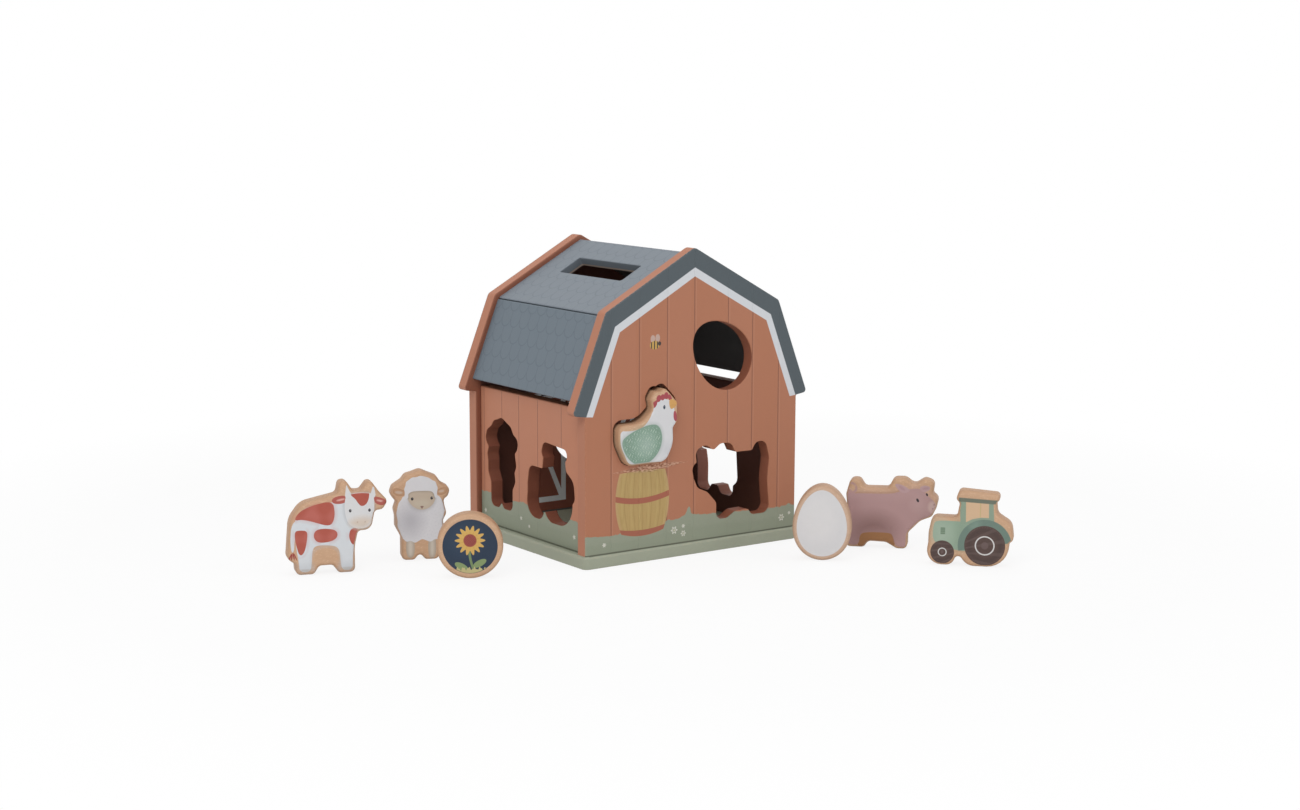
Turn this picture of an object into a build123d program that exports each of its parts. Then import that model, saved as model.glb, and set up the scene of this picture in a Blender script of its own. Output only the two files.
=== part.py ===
from build123d import *
from math import cos, pi, radians, sin, sqrt
import os

os.makedirs("parts", exist_ok=True)

# A toy barn with cut-outs, and its seven loose shape blocks. Sizes in mm. X runs to the right of the front,
# Y to the back, Z up from the floor, and the origin is the middle of the base board's underside.

# Boards
board = 9.0
house_width = 162.0
house_depth = 136.5
base_thickness = 8.0
base_overhang = 1.5
base_corner = 4.0
base_round = 1.8
board_round = 0.8

# Gable outline, with heights above the base board
eave_z = 85.5
ear_x = 89.8
ear_z = 86.8
knee_x = 66.0
knee_z = 147.5
peak_z = 183.7
ear_round = 2.2
ridge_round = 4.0
eave_round = 1.0
wall_inset = 3.8
wall_height = 89.0

# Roof boards, set in below the gables' edge, with the posting slot in the upper left one
roof_thickness = 6.0
roof_inset = 3.2
lower_length = 56.4
knee_seam = 0.6
slot_length = 69.7
slot_width = 17.5
slot_from_knee = 36.8
slot_corner = 1.5
slot_round = 0.6

# Blocks and their cut-outs
block_thickness = 12.0
block_round = 2.2
hole_clearance = 1.5
disc_diameter = 39.5
disc_hole_radius = disc_diameter / 2 + hole_clearance
egg_width = 36.0
egg_height = 47.0
egg_taper = 0.125
egg_points = 16
hen_proud = 5.0
hen_lift = 61.5
hen_rest_gap = 0.3

# Back door, hinged on two pins in its full-round edge, and shut against a step in the lintel
door_width = 94.0
door_height = 80.0
door_gap = 1.0
stop_height = 3.0
stop_gap = 0.3
stop_from_hinge = 12.5
pin_diameter = 4.0
pin_in_door = 12.0
lower_pin_in_base = 5.0
upper_pin_in_lintel = 6.0
pin_running_clearance = 0.1
pin_end_gap = 0.3
pin_chamfer = 0.4
magnet_diameter = 6.0
magnet_thickness = 3.0

# Dowels and screws
wall_dowel_diameter = 5.0
roof_dowel_diameter = 3.0
dowel_in_gable = 6.0
dowel_in_board = 8.0
dowel_chamfer = 0.5
wall_dowel_heights = (6.5, 75.0)
upper_roof_dowels = (20.0, 62.0)
lower_roof_dowels = (12.0, 45.0)
screw_length = 15.6
screw_shank = 1.75
screw_head = 3.5
screw_tip = 3.0
screw_recess = 0.4
recess_length = 3.6
recess_width = 0.9
recess_depth = 1.0
screw_from_dowel = 6.7
wall_screw_y = 44.0

# Sizes worked out from those above
wall_x = house_width / 2 - wall_inset - board / 2
gable_screw_x = wall_x - screw_from_dowel
gable_y = house_depth / 2 - board / 2
inner_depth = house_depth - 2 * board
hinge_x = -door_width / 2 + board / 2
door_bottom = base_thickness + door_gap
door_top = door_bottom + door_height
lintel_z = door_top + door_gap
doorway_width = door_width + 2 * door_gap
hen_y = -house_depth / 2 - hen_proud + block_thickness / 2

# Block outlines, as corners (x, z, radius) from the middle of the feet, seen from the printed face
cow_outline = [
    (-17.5, 0, 3.0), (-6.8, 0, 3.0), (-3.6, 5.0, 3.0), (4.6, 5.1, 3.0), (8.2, 0, 3.0), (18.2, 0, 3.0),
    (18.1, 15.5, 30), (20.3, 25.1, 2.6), (28.3, 25.3, 5.5), (30.7, 37.0, 2.6), (35.5, 37.4, 3.2),
    (38.8, 42.5, 3.0), (33.0, 49.0, 5.0), (28.9, 54.9, 2.2), (26.2, 54.6, 2.2), (22.3, 49.5, 3.0),
    (17.6, 49.8, 3.0), (13.5, 56.1, 2.6), (9.4, 55.6, 2.6), (7.9, 48.3, 3.0), (-13.6, 43.7, 12.0),
    (-20.8, 34.0, 14.0), (-22.8, 10.3, 4.2), (-18.0, 6.7, 2.6),
]
sheep_outline = [
    (-11.0, 0, 3.0), (-3.2, 0, 2.4), (0.3, 4.0, 2.0), (3.8, 0, 2.4), (12.4, 0, 3.0), (12.6, 13.0, 2.4),
    (16.0, 18.5, 4.0), (14.9, 24.2, 3.2), (17.2, 28.6, 3.8), (15.9, 33.8, 3.4), (15.4, 37.4, 2.3),
    (18.0, 39.2, 3.0), (19.8, 44.4, 3.4), (14.2, 47.4, 3.2), (11.2, 51.8, 4.0), (6.0, 54.0, 4.0),
    (1.1, 56.2, 4.2), (-3.8, 54.4, 4.0), (-7.9, 53.4, 3.8), (-10.5, 50.0, 3.0), (-16.1, 46.4, 3.2),
    (-17.8, 41.6, 3.4), (-13.8, 36.6, 2.4), (-15.5, 31.8, 3.8), (-14.6, 27.3, 3.2), (-14.6, 21.0, 4.0),
    (-11.0, 14.1, 2.8),
]
pig_outline = [
    (-19.0, 0, 2.8), (-9.0, 0, 3.0), (-6.2, 4.1, 3.6), (4.9, 3.8, 6.0), (11.6, 0, 4.0), (18.3, 0, 3.0),
    (18.3, 10.2, 6.0), (26.1, 18.4, 10.0), (33.4, 21.4, 4.0), (36.1, 27.2, 3.2), (37.4, 33.5, 3.6),
    (33.7, 35.9, 2.4), (34.8, 43.4, 3.6), (28.5, 45.6, 3.8), (22.1, 41.2, 4.0), (16.4, 45.4, 4.6),
    (9.1, 45.2, 4.0), (6.0, 38.8, 3.0), (-9.0, 38.6, 3.0), (-12.2, 43.8, 3.2), (-18.0, 44.0, 3.8),
    (-20.8, 34.0, 5.0), (-19.2, 20.0, 40.0), (-21.0, 2.6, 3.6),
]
tractor_outline = [
    (-22.1, 0, 8.7), (-5.4, 0, 5.4), (-2.2, 8.0, 2.3), (3.6, 0, 8.6), (28.6, 0, 13.2), (28.8, 14.9, 2.3),
    (31.4, 17.2, 3.0), (30.2, 27.2, 7.0), (21.4, 32.7, 5.0), (20.7, 39.8, 2.4), (22.7, 41.8, 2.4),
    (22.2, 45.4, 2.4), (-1.8, 47.1, 3.0), (-3.8, 41.2, 2.6), (-1.4, 38.9, 2.4), (-2.9, 29.9, 2.4),
    (-17.9, 30.1, 4.0), (-19.9, 20.0, 10.0), (-20.0, 13.4, 2.6),
]
hen_outline = [
    (-15.6, 0, 6.0), (13.4, 0, 7.0), (19.0, 11.0, 16.0), (18.6, 21.0, 2.6), (21.8, 24.2, 2.8),
    (21.8, 36.4, 3.2), (17.2, 41.4, 4.0), (12.4, 46.2, 3.2), (8.6, 44.0, 3.0), (4.8, 44.6, 3.2),
    (1.6, 39.4, 3.0), (3.0, 33.0, 3.4), (-5.4, 25.6, 14.0), (-22.0, 25.4, 4.6), (-22.0, 13.0, 16.0),
]

# Where each cut-out's outline has its feet: across its board as seen from outside, and above the base board
cow_hole = (0.0, 14.0)
sheep_hole = (-35.2, 13.8)
tractor_hole = (18.0, 14.5)
pig_hole = (37.4, 13.1)
hen_hole = (-37.6, hen_lift - base_thickness + hole_clearance - hen_rest_gap)

# Where the egg's and the disc's cut-outs have their middle, in the same way, and how far the egg's leans to the left
egg_hole = (21.3, 116.3)
egg_lean = 50.0
disc_hole = (0.0, 52.7)

# Where each loose block stands on the floor, (x, y), and how far it is turned about Z, in degrees
cow_place = (-214.0, 16.6)
sheep_place = (-148.3, 17.6)
disc_place = (-147.3, -43.6)
egg_place = (57.4, -124.4)
pig_place = (110.2, -117.1)
tractor_place = (118.85, -183.45)
cow_turn = -17.7
sheep_turn = -22.0
disc_turn = -31.0
egg_turn = -43.0
pig_turn = -46.5
tractor_turn = -47.5

# The outside faces, seen from outside, with their own origin at the base board's top
front_face = Plane(origin=(0, -house_depth / 2, base_thickness), x_dir=(1, 0, 0), z_dir=(0, -1, 0))
back_face = Plane(origin=(0, house_depth / 2, base_thickness), x_dir=(-1, 0, 0), z_dir=(0, 1, 0))
left_face = Plane(origin=(-wall_x - board / 2, 0, base_thickness), x_dir=(0, -1, 0), z_dir=(-1, 0, 0))
right_face = Plane(origin=(wall_x + board / 2, 0, base_thickness), x_dir=(0, 1, 0), z_dir=(1, 0, 0))


def rounded_outline(corners):
    """The closed line through the corners (x, z, radius), each rounded by its own radius."""
    return FilletPolyline([(x, z) for x, z, _ in corners], radius=[r for _, _, r in corners], close=True)


def placed(corners, place, turned=1):
    """The corners moved to the place (x, z), and mirrored in x where turned is -1."""
    return [(turned * x + place[0], z + place[1], r) for x, z, r in corners]


def egg_line(clearance, place, lean):
    """An egg about the place: x = w/2 cos t (1 - taper sin t), z = h/2 sin t, then leant over to the left."""
    half_width, half_height = egg_width / 2 + clearance, egg_height / 2 + clearance
    points = []
    for i in range(egg_points):
        t = 2 * pi * i / egg_points
        x, z = half_width * cos(t) * (1 - egg_taper * sin(t)), half_height * sin(t)
        points.append((place[0] + x * cos(lean) - z * sin(lean), place[1] + x * sin(lean) + z * cos(lean)))
    return Spline(*points, periodic=True)


def figure_cut(face, outlines):
    """The tools that cut the outlines, widened by the clearance, through the board behind the face."""
    with BuildPart() as cut:
        with BuildSketch(face):
            for corners in outlines:
                with BuildLine():
                    rounded_outline(corners)
                make_face()
            offset(amount=hole_clearance, kind=Kind.INTERSECTION)
        extrude(amount=board, both=True)
    return cut


def block_plane(place, turn, z=0):
    """The middle plane of a block whose outline's origin is at the place (x, y) and z, turned about Z."""
    yaw = radians(turn)
    return Plane(origin=(*place, z), x_dir=(cos(yaw), sin(yaw), 0), z_dir=(sin(yaw), -cos(yaw), 0))


def figure_block(corners, plane):
    """A block of the outline, with both faces' edges rounded."""
    with BuildPart() as block:
        with BuildSketch(plane):
            with BuildLine():
                rounded_outline(corners)
            make_face()
        extrude(amount=block_thickness / 2, both=True)
        fillet(block.faces().filter_by(Axis((0, 0, 0), plane.z_dir)).edges(), block_round)
    return block


def slope_point(start, end, along, depth):
    """A point at a distance along the gable's outline from start to end, and a depth inside it."""
    run, rise = end[0] - start[0], end[1] - start[1]
    length = sqrt(run**2 + rise**2)
    across, down = run / length, -rise / length
    return (start[0] + across * along - down * depth, start[1] - down * along - across * depth)


def knee_point(depth):
    """Where the two roof slopes meet, at a depth inside the gable's outline."""
    upper = sqrt(knee_x**2 + (peak_z - knee_z) ** 2)
    lower = sqrt((ear_x - knee_x) ** 2 + (knee_z - ear_z) ** 2)
    n1 = ((peak_z - knee_z) / upper, knee_x / upper)
    n2 = ((knee_z - ear_z) / lower, (ear_x - knee_x) / lower)
    share = depth / (1 + n1[0] * n2[0] + n1[1] * n2[1])
    return (knee_x - share * (n1[0] + n2[0]), knee_z - share * (n1[1] + n2[1]))


# Corners of the right half of the gable, from the peak down
peak = (0, peak_z)
knee = (knee_x, knee_z)
ear = (ear_x, ear_z)
upper_slope = sqrt(knee_x**2 + (peak_z - knee_z) ** 2)
half_gable = [
    (knee_x, knee_z, ridge_round),
    (ear_x, ear_z, ear_round),
    (house_width / 2, eave_z, eave_round),
    (house_width / 2, 0, 0),
]
gable_outline = [(0, peak_z, ridge_round)] + half_gable + [(-x, z, r) for x, z, r in reversed(half_gable)]

# Dowel places (x, z) on the right half, above the base board
roof_mid = roof_inset + roof_thickness / 2
wall_dowel_places = [(wall_x, z) for z in wall_dowel_heights]
upper_dowel_places = [slope_point(peak, knee, s, roof_mid) for s in upper_roof_dowels]
lower_dowel_places = [slope_point(knee, ear, s, roof_mid) for s in lower_roof_dowels]
roof_dowel_places = upper_dowel_places + lower_dowel_places

# Screw places (x, y) under the base board
gable_screw_places = [(x, y) for x in (-gable_screw_x, gable_screw_x) for y in (-gable_y, gable_y)]
wall_screw_places = [(x, y) for x in (-wall_x, wall_x) for y in (-wall_screw_y, wall_screw_y)]
screw_places = gable_screw_places + wall_screw_places


def dowel_set(places, diameter, sides, ends):
    """Dowels along Y at the places, on the sides -1 and 1 of the house and in the gables -1 front and 1 back."""
    middle = inner_depth / 2 + (dowel_in_gable - dowel_in_board) / 2
    spots = [(s * x, e * middle, z + base_thickness) for x, z in places for s in sides for e in ends]
    with BuildPart() as dowels:
        with Locations(*spots):
            Cylinder(diameter / 2, dowel_in_gable + dowel_in_board, rotation=(90, 0, 0))
    return dowels


# One screw, point up, with its head's flat face below the base board's underside
with BuildPart() as screw:
    with BuildSketch(Plane.XZ):
        with BuildLine():
            Polyline(
                (0, screw_recess),
                (screw_head, screw_recess),
                (screw_shank, screw_recess + screw_head - screw_shank),
                (screw_shank, screw_recess + screw_length - screw_tip),
                (0, screw_recess + screw_length),
                close=True,
            )
        make_face()
    revolve(axis=Axis.Z)

# Pins and magnets of the back door
with BuildPart() as door_pin_lower:
    with BuildSketch(Plane.XY.offset(base_thickness - lower_pin_in_base)):
        with Locations((hinge_x, gable_y)):
            Circle(pin_diameter / 2)
    extrude(amount=lower_pin_in_base + door_gap + pin_in_door)
    chamfer(door_pin_lower.edges(), pin_chamfer)

with BuildPart() as door_pin_upper:
    with BuildSketch(Plane.XY.offset(door_top - pin_in_door)):
        with Locations((hinge_x, gable_y)):
            Circle(pin_diameter / 2)
    extrude(amount=pin_in_door + door_gap + upper_pin_in_lintel)
    chamfer(door_pin_upper.edges(), pin_chamfer)

magnet_z = door_bottom + door_height / 2
with BuildPart() as door_magnet:
    with BuildSketch(Plane.YZ.offset(door_width / 2)):
        with Locations((gable_y, magnet_z)):
            Circle(magnet_diameter / 2)
    extrude(amount=-magnet_thickness)

with BuildPart() as jamb_magnet:
    with BuildSketch(Plane.YZ.offset(doorway_width / 2)):
        with Locations((gable_y, magnet_z)):
            Circle(magnet_diameter / 2)
    extrude(amount=magnet_thickness)

# Base board
with BuildPart() as base_board:
    with BuildSketch(Plane.XY):
        RectangleRounded(house_width + 2 * base_overhang, house_depth + 2 * base_overhang, base_corner)
    extrude(amount=base_thickness)
    fillet(base_board.faces().sort_by(Axis.Z)[-1].edges(), base_round)
    fillet(base_board.faces().sort_by(Axis.Z)[0].edges(), board_round)
    with Locations(*screw_places):
        add(screw.part, mode=Mode.SUBTRACT)
        Cylinder(screw_head, 2 * screw_recess, mode=Mode.SUBTRACT)
    with BuildSketch(Plane.XY.offset(base_thickness)):
        with Locations((hinge_x, gable_y)):
            Circle(pin_diameter / 2 + pin_running_clearance)
    extrude(amount=-lower_pin_in_base - pin_end_gap, mode=Mode.SUBTRACT)


def gable_blank(face):
    """A gable board behind the face, with its edges rounded except along the base board."""
    with BuildPart() as blank:
        with BuildSketch(face):
            with BuildLine():
                rounded_outline(gable_outline)
            make_face()
        extrude(amount=-board)
        rim = blank.faces().filter_by(Axis.Y).edges()
        fillet(rim.filter_by(lambda edge: edge.center().Z > base_thickness + board_round), board_round)
    return blank


# Front gable, cut for the hen, the pig turned round, and the egg leaning over
front_blank = gable_blank(front_face)
front_figures = figure_cut(front_face, [placed(hen_outline, hen_hole), placed(pig_outline, pig_hole, -1)])
front_wall_dowels = dowel_set(wall_dowel_places, wall_dowel_diameter, (-1, 1), (-1,))
front_roof_dowels = dowel_set(roof_dowel_places, roof_dowel_diameter, (-1, 1), (-1,))
with BuildPart() as front_gable:
    add(front_blank.part)
    add(front_figures.part, mode=Mode.SUBTRACT)
    add(front_wall_dowels.part, mode=Mode.SUBTRACT)
    add(front_roof_dowels.part, mode=Mode.SUBTRACT)
    with Locations(*gable_screw_places):
        add(screw.part, mode=Mode.SUBTRACT)
    with BuildSketch(front_face):
        with BuildLine():
            egg_line(hole_clearance, egg_hole, radians(egg_lean))
        make_face()
    extrude(amount=-board, mode=Mode.SUBTRACT)
    egg_rim = front_gable.edges().filter_by(GeomType.BSPLINE)
    fillet(egg_rim.filter_by(lambda edge: edge.length > 2 * egg_height), board_round)

# Back gable, with the doorway, the step that stops the door, and the upper pin's bearing
back_blank = gable_blank(back_face)
back_wall_dowels = dowel_set(wall_dowel_places, wall_dowel_diameter, (-1, 1), (1,))
back_roof_dowels = dowel_set(roof_dowel_places, roof_dowel_diameter, (-1, 1), (1,))
stop_x = hinge_x + stop_from_hinge
step_y = gable_y - stop_gap / 2
with BuildPart() as back_gable:
    add(back_blank.part)
    add(back_wall_dowels.part, mode=Mode.SUBTRACT)
    add(back_roof_dowels.part, mode=Mode.SUBTRACT)
    with Locations(*gable_screw_places):
        add(screw.part, mode=Mode.SUBTRACT)
    with BuildSketch(Plane.XY.offset(base_thickness)):
        with Locations((0, gable_y)):
            Rectangle(doorway_width, board)
    extrude(amount=lintel_z - stop_height - base_thickness, mode=Mode.SUBTRACT)
    with BuildSketch(Plane.XY.offset(lintel_z - stop_height)):
        with BuildLine():
            Polyline(
                (-doorway_width / 2, gable_y - board / 2),
                (stop_x, gable_y - board / 2),
                (stop_x, step_y),
                (doorway_width / 2, step_y),
                (doorway_width / 2, gable_y + board / 2),
                (-doorway_width / 2, gable_y + board / 2),
                close=True,
            )
        make_face()
    extrude(amount=stop_height, mode=Mode.SUBTRACT)
    with BuildSketch(Plane.XY.offset(lintel_z)):
        with Locations((hinge_x, gable_y)):
            Circle(pin_diameter / 2 + pin_running_clearance)
    extrude(amount=upper_pin_in_lintel + pin_end_gap, mode=Mode.SUBTRACT)
    add(jamb_magnet.part, mode=Mode.SUBTRACT)

# Back door, with the disc's cut-out
with BuildPart() as back_door:
    with BuildSketch(Plane.XY.offset(door_bottom)):
        with Locations(((hinge_x + door_width / 2) / 2, gable_y)):
            Rectangle(door_width / 2 - hinge_x, board)
        with Locations((hinge_x, gable_y)):
            Circle(board / 2)
    extrude(amount=door_height)
    free_edges = back_door.edges().filter_by(Axis.Z).filter_by(lambda edge: edge.center().X > 0)
    fillet(free_edges, board_round)
    with BuildSketch(Plane.XY.offset(door_top)):
        with BuildLine():
            Polyline(
                (stop_x - door_gap, gable_y - board),
                (door_width, gable_y - board),
                (door_width, gable_y + stop_gap / 2),
                (stop_x - door_gap, gable_y + stop_gap / 2),
                close=True,
            )
        make_face()
    extrude(amount=-stop_height, mode=Mode.SUBTRACT)
    with BuildSketch(back_face):
        with Locations(disc_hole):
            Circle(disc_hole_radius)
    extrude(amount=-board, mode=Mode.SUBTRACT)
    disc_rim = back_door.edges().filter_by(GeomType.CIRCLE)
    fillet(disc_rim.filter_by(lambda edge: abs(edge.radius - disc_hole_radius) < 0.01), board_round)
    add(door_pin_lower.part, mode=Mode.SUBTRACT)
    add(door_pin_upper.part, mode=Mode.SUBTRACT)
    add(door_magnet.part, mode=Mode.SUBTRACT)


def side_wall(side, face, outlines):
    """A side wall on the side -1 or 1, standing on the base board between the gables, with its cut-outs."""
    cut = figure_cut(face, outlines)
    dowels = dowel_set(wall_dowel_places, wall_dowel_diameter, (side,), (-1, 1))
    with BuildPart() as wall:
        with BuildSketch(Plane.XY.offset(base_thickness)):
            with Locations((side * wall_x, 0)):
                Rectangle(board, inner_depth)
        extrude(amount=wall_height)
        fillet(wall.faces().sort_by(Axis.Z)[-1].edges().filter_by(Axis.Y), board_round)
        add(cut.part, mode=Mode.SUBTRACT)
        add(dowels.part, mode=Mode.SUBTRACT)
        with Locations(*[place for place in wall_screw_places if place[0] * side > 0]):
            add(screw.part, mode=Mode.SUBTRACT)
    return wall


left_wall = side_wall(-1, left_face, [placed(sheep_outline, sheep_hole), placed(tractor_outline, tractor_hole)])
right_wall = side_wall(1, right_face, [placed(cow_outline, cow_hole)])


def roof_board(section, side, dowel_places):
    """A roof board of the section's corners (x, z), on the side -1 or 1, between the gables."""
    dowels = dowel_set(dowel_places, roof_dowel_diameter, (side,), (-1, 1))
    with BuildPart() as roof:
        with BuildSketch(Plane.XZ):
            with BuildLine():
                Polyline(*[(side * x, z + base_thickness) for x, z in section], close=True)
            make_face()
        extrude(amount=inner_depth / 2, both=True)
        long_edges = roof.edges().filter_by(Axis.Y)
        fillet(long_edges.filter_by(lambda edge: abs(edge.center().X) > board_round), board_round)
        add(dowels.part, mode=Mode.SUBTRACT)
    return roof


def seam_point(depth, side):
    """A corner of a roof board at the knee, half the seam's width from it up (-1) or down (1) the slope."""
    x, z = knee_point(depth)
    away = slope_point(peak, knee, -knee_seam / 2, 0) if side < 0 else slope_point(knee, ear, knee_seam / 2, 0)
    start = peak if side < 0 else knee
    return (x + away[0] - start[0], z + away[1] - start[1])


drop = upper_slope / knee_x
roof_under = roof_inset + roof_thickness
level_cut = roof_thickness * (ear_x - knee_x) / (knee_z - ear_z)
upper_section = [
    (0, peak_z - roof_inset * drop),
    seam_point(roof_inset, -1),
    seam_point(roof_under, -1),
    (0, peak_z - roof_under * drop),
]
lower_section = [
    seam_point(roof_inset, 1),
    slope_point(knee, ear, lower_length, roof_inset),
    slope_point(knee, ear, lower_length - level_cut, roof_under),
    seam_point(roof_under, 1),
]
upper_right_roof = roof_board(upper_section, 1, upper_dowel_places)
lower_left_roof = roof_board(lower_section, -1, lower_dowel_places)
lower_right_roof = roof_board(lower_section, 1, lower_dowel_places)

# Upper left roof board, with the slot cut square to the slope
uncut_roof = roof_board(upper_section, -1, upper_dowel_places)
slope_plane = Plane(
    origin=(-knee_x, 0, knee_z + base_thickness),
    x_dir=(knee_x, 0, peak_z - knee_z),
    z_dir=(knee_z - peak_z, 0, knee_x),
)
with BuildPart() as upper_left_roof:
    add(uncut_roof.part)
    with BuildSketch(slope_plane):
        with Locations((slot_from_knee + slot_width / 2, 0)):
            RectangleRounded(slot_width, slot_length, slot_corner)
    extrude(amount=-2 * roof_under, mode=Mode.SUBTRACT)
    outside = upper_left_roof.faces().sort_by(Axis((0, 0, 0), slope_plane.z_dir))[-1]
    fillet(outside.inner_wires().edges(), slot_round)

# Dowels and screws
wall_dowels = dowel_set(wall_dowel_places, wall_dowel_diameter, (-1, 1), (-1, 1))
roof_dowels = dowel_set(roof_dowel_places, roof_dowel_diameter, (-1, 1), (-1, 1))
for dowels in (wall_dowels, roof_dowels):
    with dowels:
        chamfer(dowels.edges().filter_by(GeomType.CIRCLE), dowel_chamfer)

with BuildPart() as base_screws:
    with Locations(*screw_places):
        add(screw.part)
    with BuildSketch(Plane.XY.offset(screw_recess)):
        with Locations(*screw_places):
            Rectangle(recess_length, recess_width)
            Rectangle(recess_width, recess_length)
    extrude(amount=recess_depth, mode=Mode.SUBTRACT)

# Shape blocks, standing round the barn, and the hen in her cut-out
cow_block = figure_block(cow_outline, block_plane(cow_place, cow_turn))
sheep_block = figure_block(sheep_outline, block_plane(sheep_place, sheep_turn))
pig_block = figure_block(pig_outline, block_plane(pig_place, pig_turn))
tractor_block = figure_block(tractor_outline, block_plane(tractor_place, tractor_turn))
hen_block = figure_block(hen_outline, block_plane((hen_hole[0], hen_y), 0, hen_lift))

round_plane = block_plane(disc_place, disc_turn, disc_diameter / 2)
with BuildPart() as round_block:
    with BuildSketch(round_plane):
        Circle(disc_diameter / 2)
    extrude(amount=block_thickness / 2, both=True)
    fillet(round_block.edges().filter_by(GeomType.CIRCLE), block_round)

egg_plane = block_plane(egg_place, egg_turn, egg_height / 2)
with BuildPart() as egg_block:
    with BuildSketch(egg_plane):
        with BuildLine():
            egg_line(0, (0, 0), 0)
        make_face()
    extrude(amount=block_thickness / 2, both=True)
    fillet(egg_block.faces().filter_by(Axis((0, 0, 0), egg_plane.z_dir)).edges(), block_round)

base_board.part.label = "base_board"
export_step(base_board.part, "parts/base_board.step")
front_gable.part.label = "front_gable"
export_step(front_gable.part, "parts/front_gable.step")
back_gable.part.label = "back_gable"
export_step(back_gable.part, "parts/back_gable.step")
left_wall.part.label = "left_wall"
export_step(left_wall.part, "parts/left_wall.step")
right_wall.part.label = "right_wall"
export_step(right_wall.part, "parts/right_wall.step")
upper_left_roof.part.label = "upper_left_roof"
export_step(upper_left_roof.part, "parts/upper_left_roof.step")
upper_right_roof.part.label = "upper_right_roof"
export_step(upper_right_roof.part, "parts/upper_right_roof.step")
lower_left_roof.part.label = "lower_left_roof"
export_step(lower_left_roof.part, "parts/lower_left_roof.step")
lower_right_roof.part.label = "lower_right_roof"
export_step(lower_right_roof.part, "parts/lower_right_roof.step")
back_door.part.label = "back_door"
export_step(back_door.part, "parts/back_door.step")
door_pin_upper.part.label = "door_pin_upper"
export_step(door_pin_upper.part, "parts/door_pin_upper.step")
door_pin_lower.part.label = "door_pin_lower"
export_step(door_pin_lower.part, "parts/door_pin_lower.step")
door_magnet.part.label = "door_magnet"
export_step(door_magnet.part, "parts/door_magnet.step")
jamb_magnet.part.label = "jamb_magnet"
export_step(jamb_magnet.part, "parts/jamb_magnet.step")
wall_dowels.part.label = "wall_dowels"
export_step(wall_dowels.part, "parts/wall_dowels.step")
roof_dowels.part.label = "roof_dowels"
export_step(roof_dowels.part, "parts/roof_dowels.step")
base_screws.part.label = "base_screws"
export_step(base_screws.part, "parts/base_screws.step")
cow_block.part.label = "cow_block"
export_step(cow_block.part, "parts/cow_block.step")
sheep_block.part.label = "sheep_block"
export_step(sheep_block.part, "parts/sheep_block.step")
round_block.part.label = "round_block"
export_step(round_block.part, "parts/round_block.step")
egg_block.part.label = "egg_block"
export_step(egg_block.part, "parts/egg_block.step")
pig_block.part.label = "pig_block"
export_step(pig_block.part, "parts/pig_block.step")
tractor_block.part.label = "tractor_block"
export_step(tractor_block.part, "parts/tractor_block.step")
hen_block.part.label = "hen_block"
export_step(hen_block.part, "parts/hen_block.step")
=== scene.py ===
from functools import reduce
from math import pi, radians

import bpy
import numpy as np
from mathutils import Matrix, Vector


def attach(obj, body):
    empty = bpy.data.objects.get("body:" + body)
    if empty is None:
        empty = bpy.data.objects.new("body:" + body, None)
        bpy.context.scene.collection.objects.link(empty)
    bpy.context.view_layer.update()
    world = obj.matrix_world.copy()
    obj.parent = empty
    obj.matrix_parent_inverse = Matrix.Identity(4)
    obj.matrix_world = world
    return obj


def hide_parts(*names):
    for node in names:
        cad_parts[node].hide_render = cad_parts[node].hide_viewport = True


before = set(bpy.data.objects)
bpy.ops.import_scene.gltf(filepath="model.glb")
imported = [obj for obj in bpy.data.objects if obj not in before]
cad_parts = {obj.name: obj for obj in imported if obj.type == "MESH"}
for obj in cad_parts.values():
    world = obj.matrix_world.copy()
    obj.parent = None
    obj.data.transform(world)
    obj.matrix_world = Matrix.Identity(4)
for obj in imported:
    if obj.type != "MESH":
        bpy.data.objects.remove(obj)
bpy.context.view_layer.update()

# Base board
# A board 8 mm thick with a soft rim, painted sage green all over, under the walls and gables, which are glued and
# screwed to it from below. Its paint is matt, a little uneven, and rubbed thin along the rim, with painted shade in a
# dark line at the foot of the house.


def srgb(red, green, blue):
    """A colour as the eye reads it, 0 to 255, made linear: ((c / 255 + 0.055) / 1.055) ** 2.4."""
    return [((c / 255 + 0.055) / 1.055) ** 2.4 for c in (red, green, blue)] + [1]


class Term:
    """A number that a finish works out at each point. Each sign and method adds one Math node."""

    def __init__(self, tree, socket):
        self.tree, self.socket = tree, socket

    def step(self, operation, *others):
        """The operation on this number and the others, in their order."""
        node = self.tree.nodes.new("ShaderNodeMath")
        node.operation = operation
        for entry, value in zip(node.inputs, (self, *others)):
            if isinstance(value, Term):
                self.tree.links.new(value.socket, entry)
            else:
                entry.default_value = value
        return Term(self.tree, node.outputs[0])

    def __add__(self, other):
        return self.step("ADD", other)

    def __sub__(self, other):
        return self.step("SUBTRACT", other)

    def __rsub__(self, other):
        return -self + other

    def __mul__(self, other):
        return self.step("MULTIPLY", other)

    def __truediv__(self, other):
        return self.step("DIVIDE", other)

    def __neg__(self):
        return self.step("MULTIPLY", -1)

    def __abs__(self):
        return self.step("ABSOLUTE")

    def least(self, other):
        return self.step("MINIMUM", other)

    def most(self, other):
        return self.step("MAXIMUM", other)

    def off_step(self, pitch):
        """The distance to the nearest multiple of the pitch: pitch * |fract(t / pitch + 1/2) - 1/2|."""
        return abs((self / pitch + 0.5).step("FRACT") - 0.5) * pitch

    def covers(self, soft=0.15):
        """1 below 0 and 0 above it, with a soft edge: 1/2 - t / soft, kept within 0 and 1."""
        shade = self.step("MULTIPLY_ADD", -1 / soft, 0.5)
        shade.socket.node.use_clamp = True
        return shade


def nearest(term, places):
    """The distance from a number to the nearest of the places."""
    return reduce(Term.least, [abs(term - place) for place in places])


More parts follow.
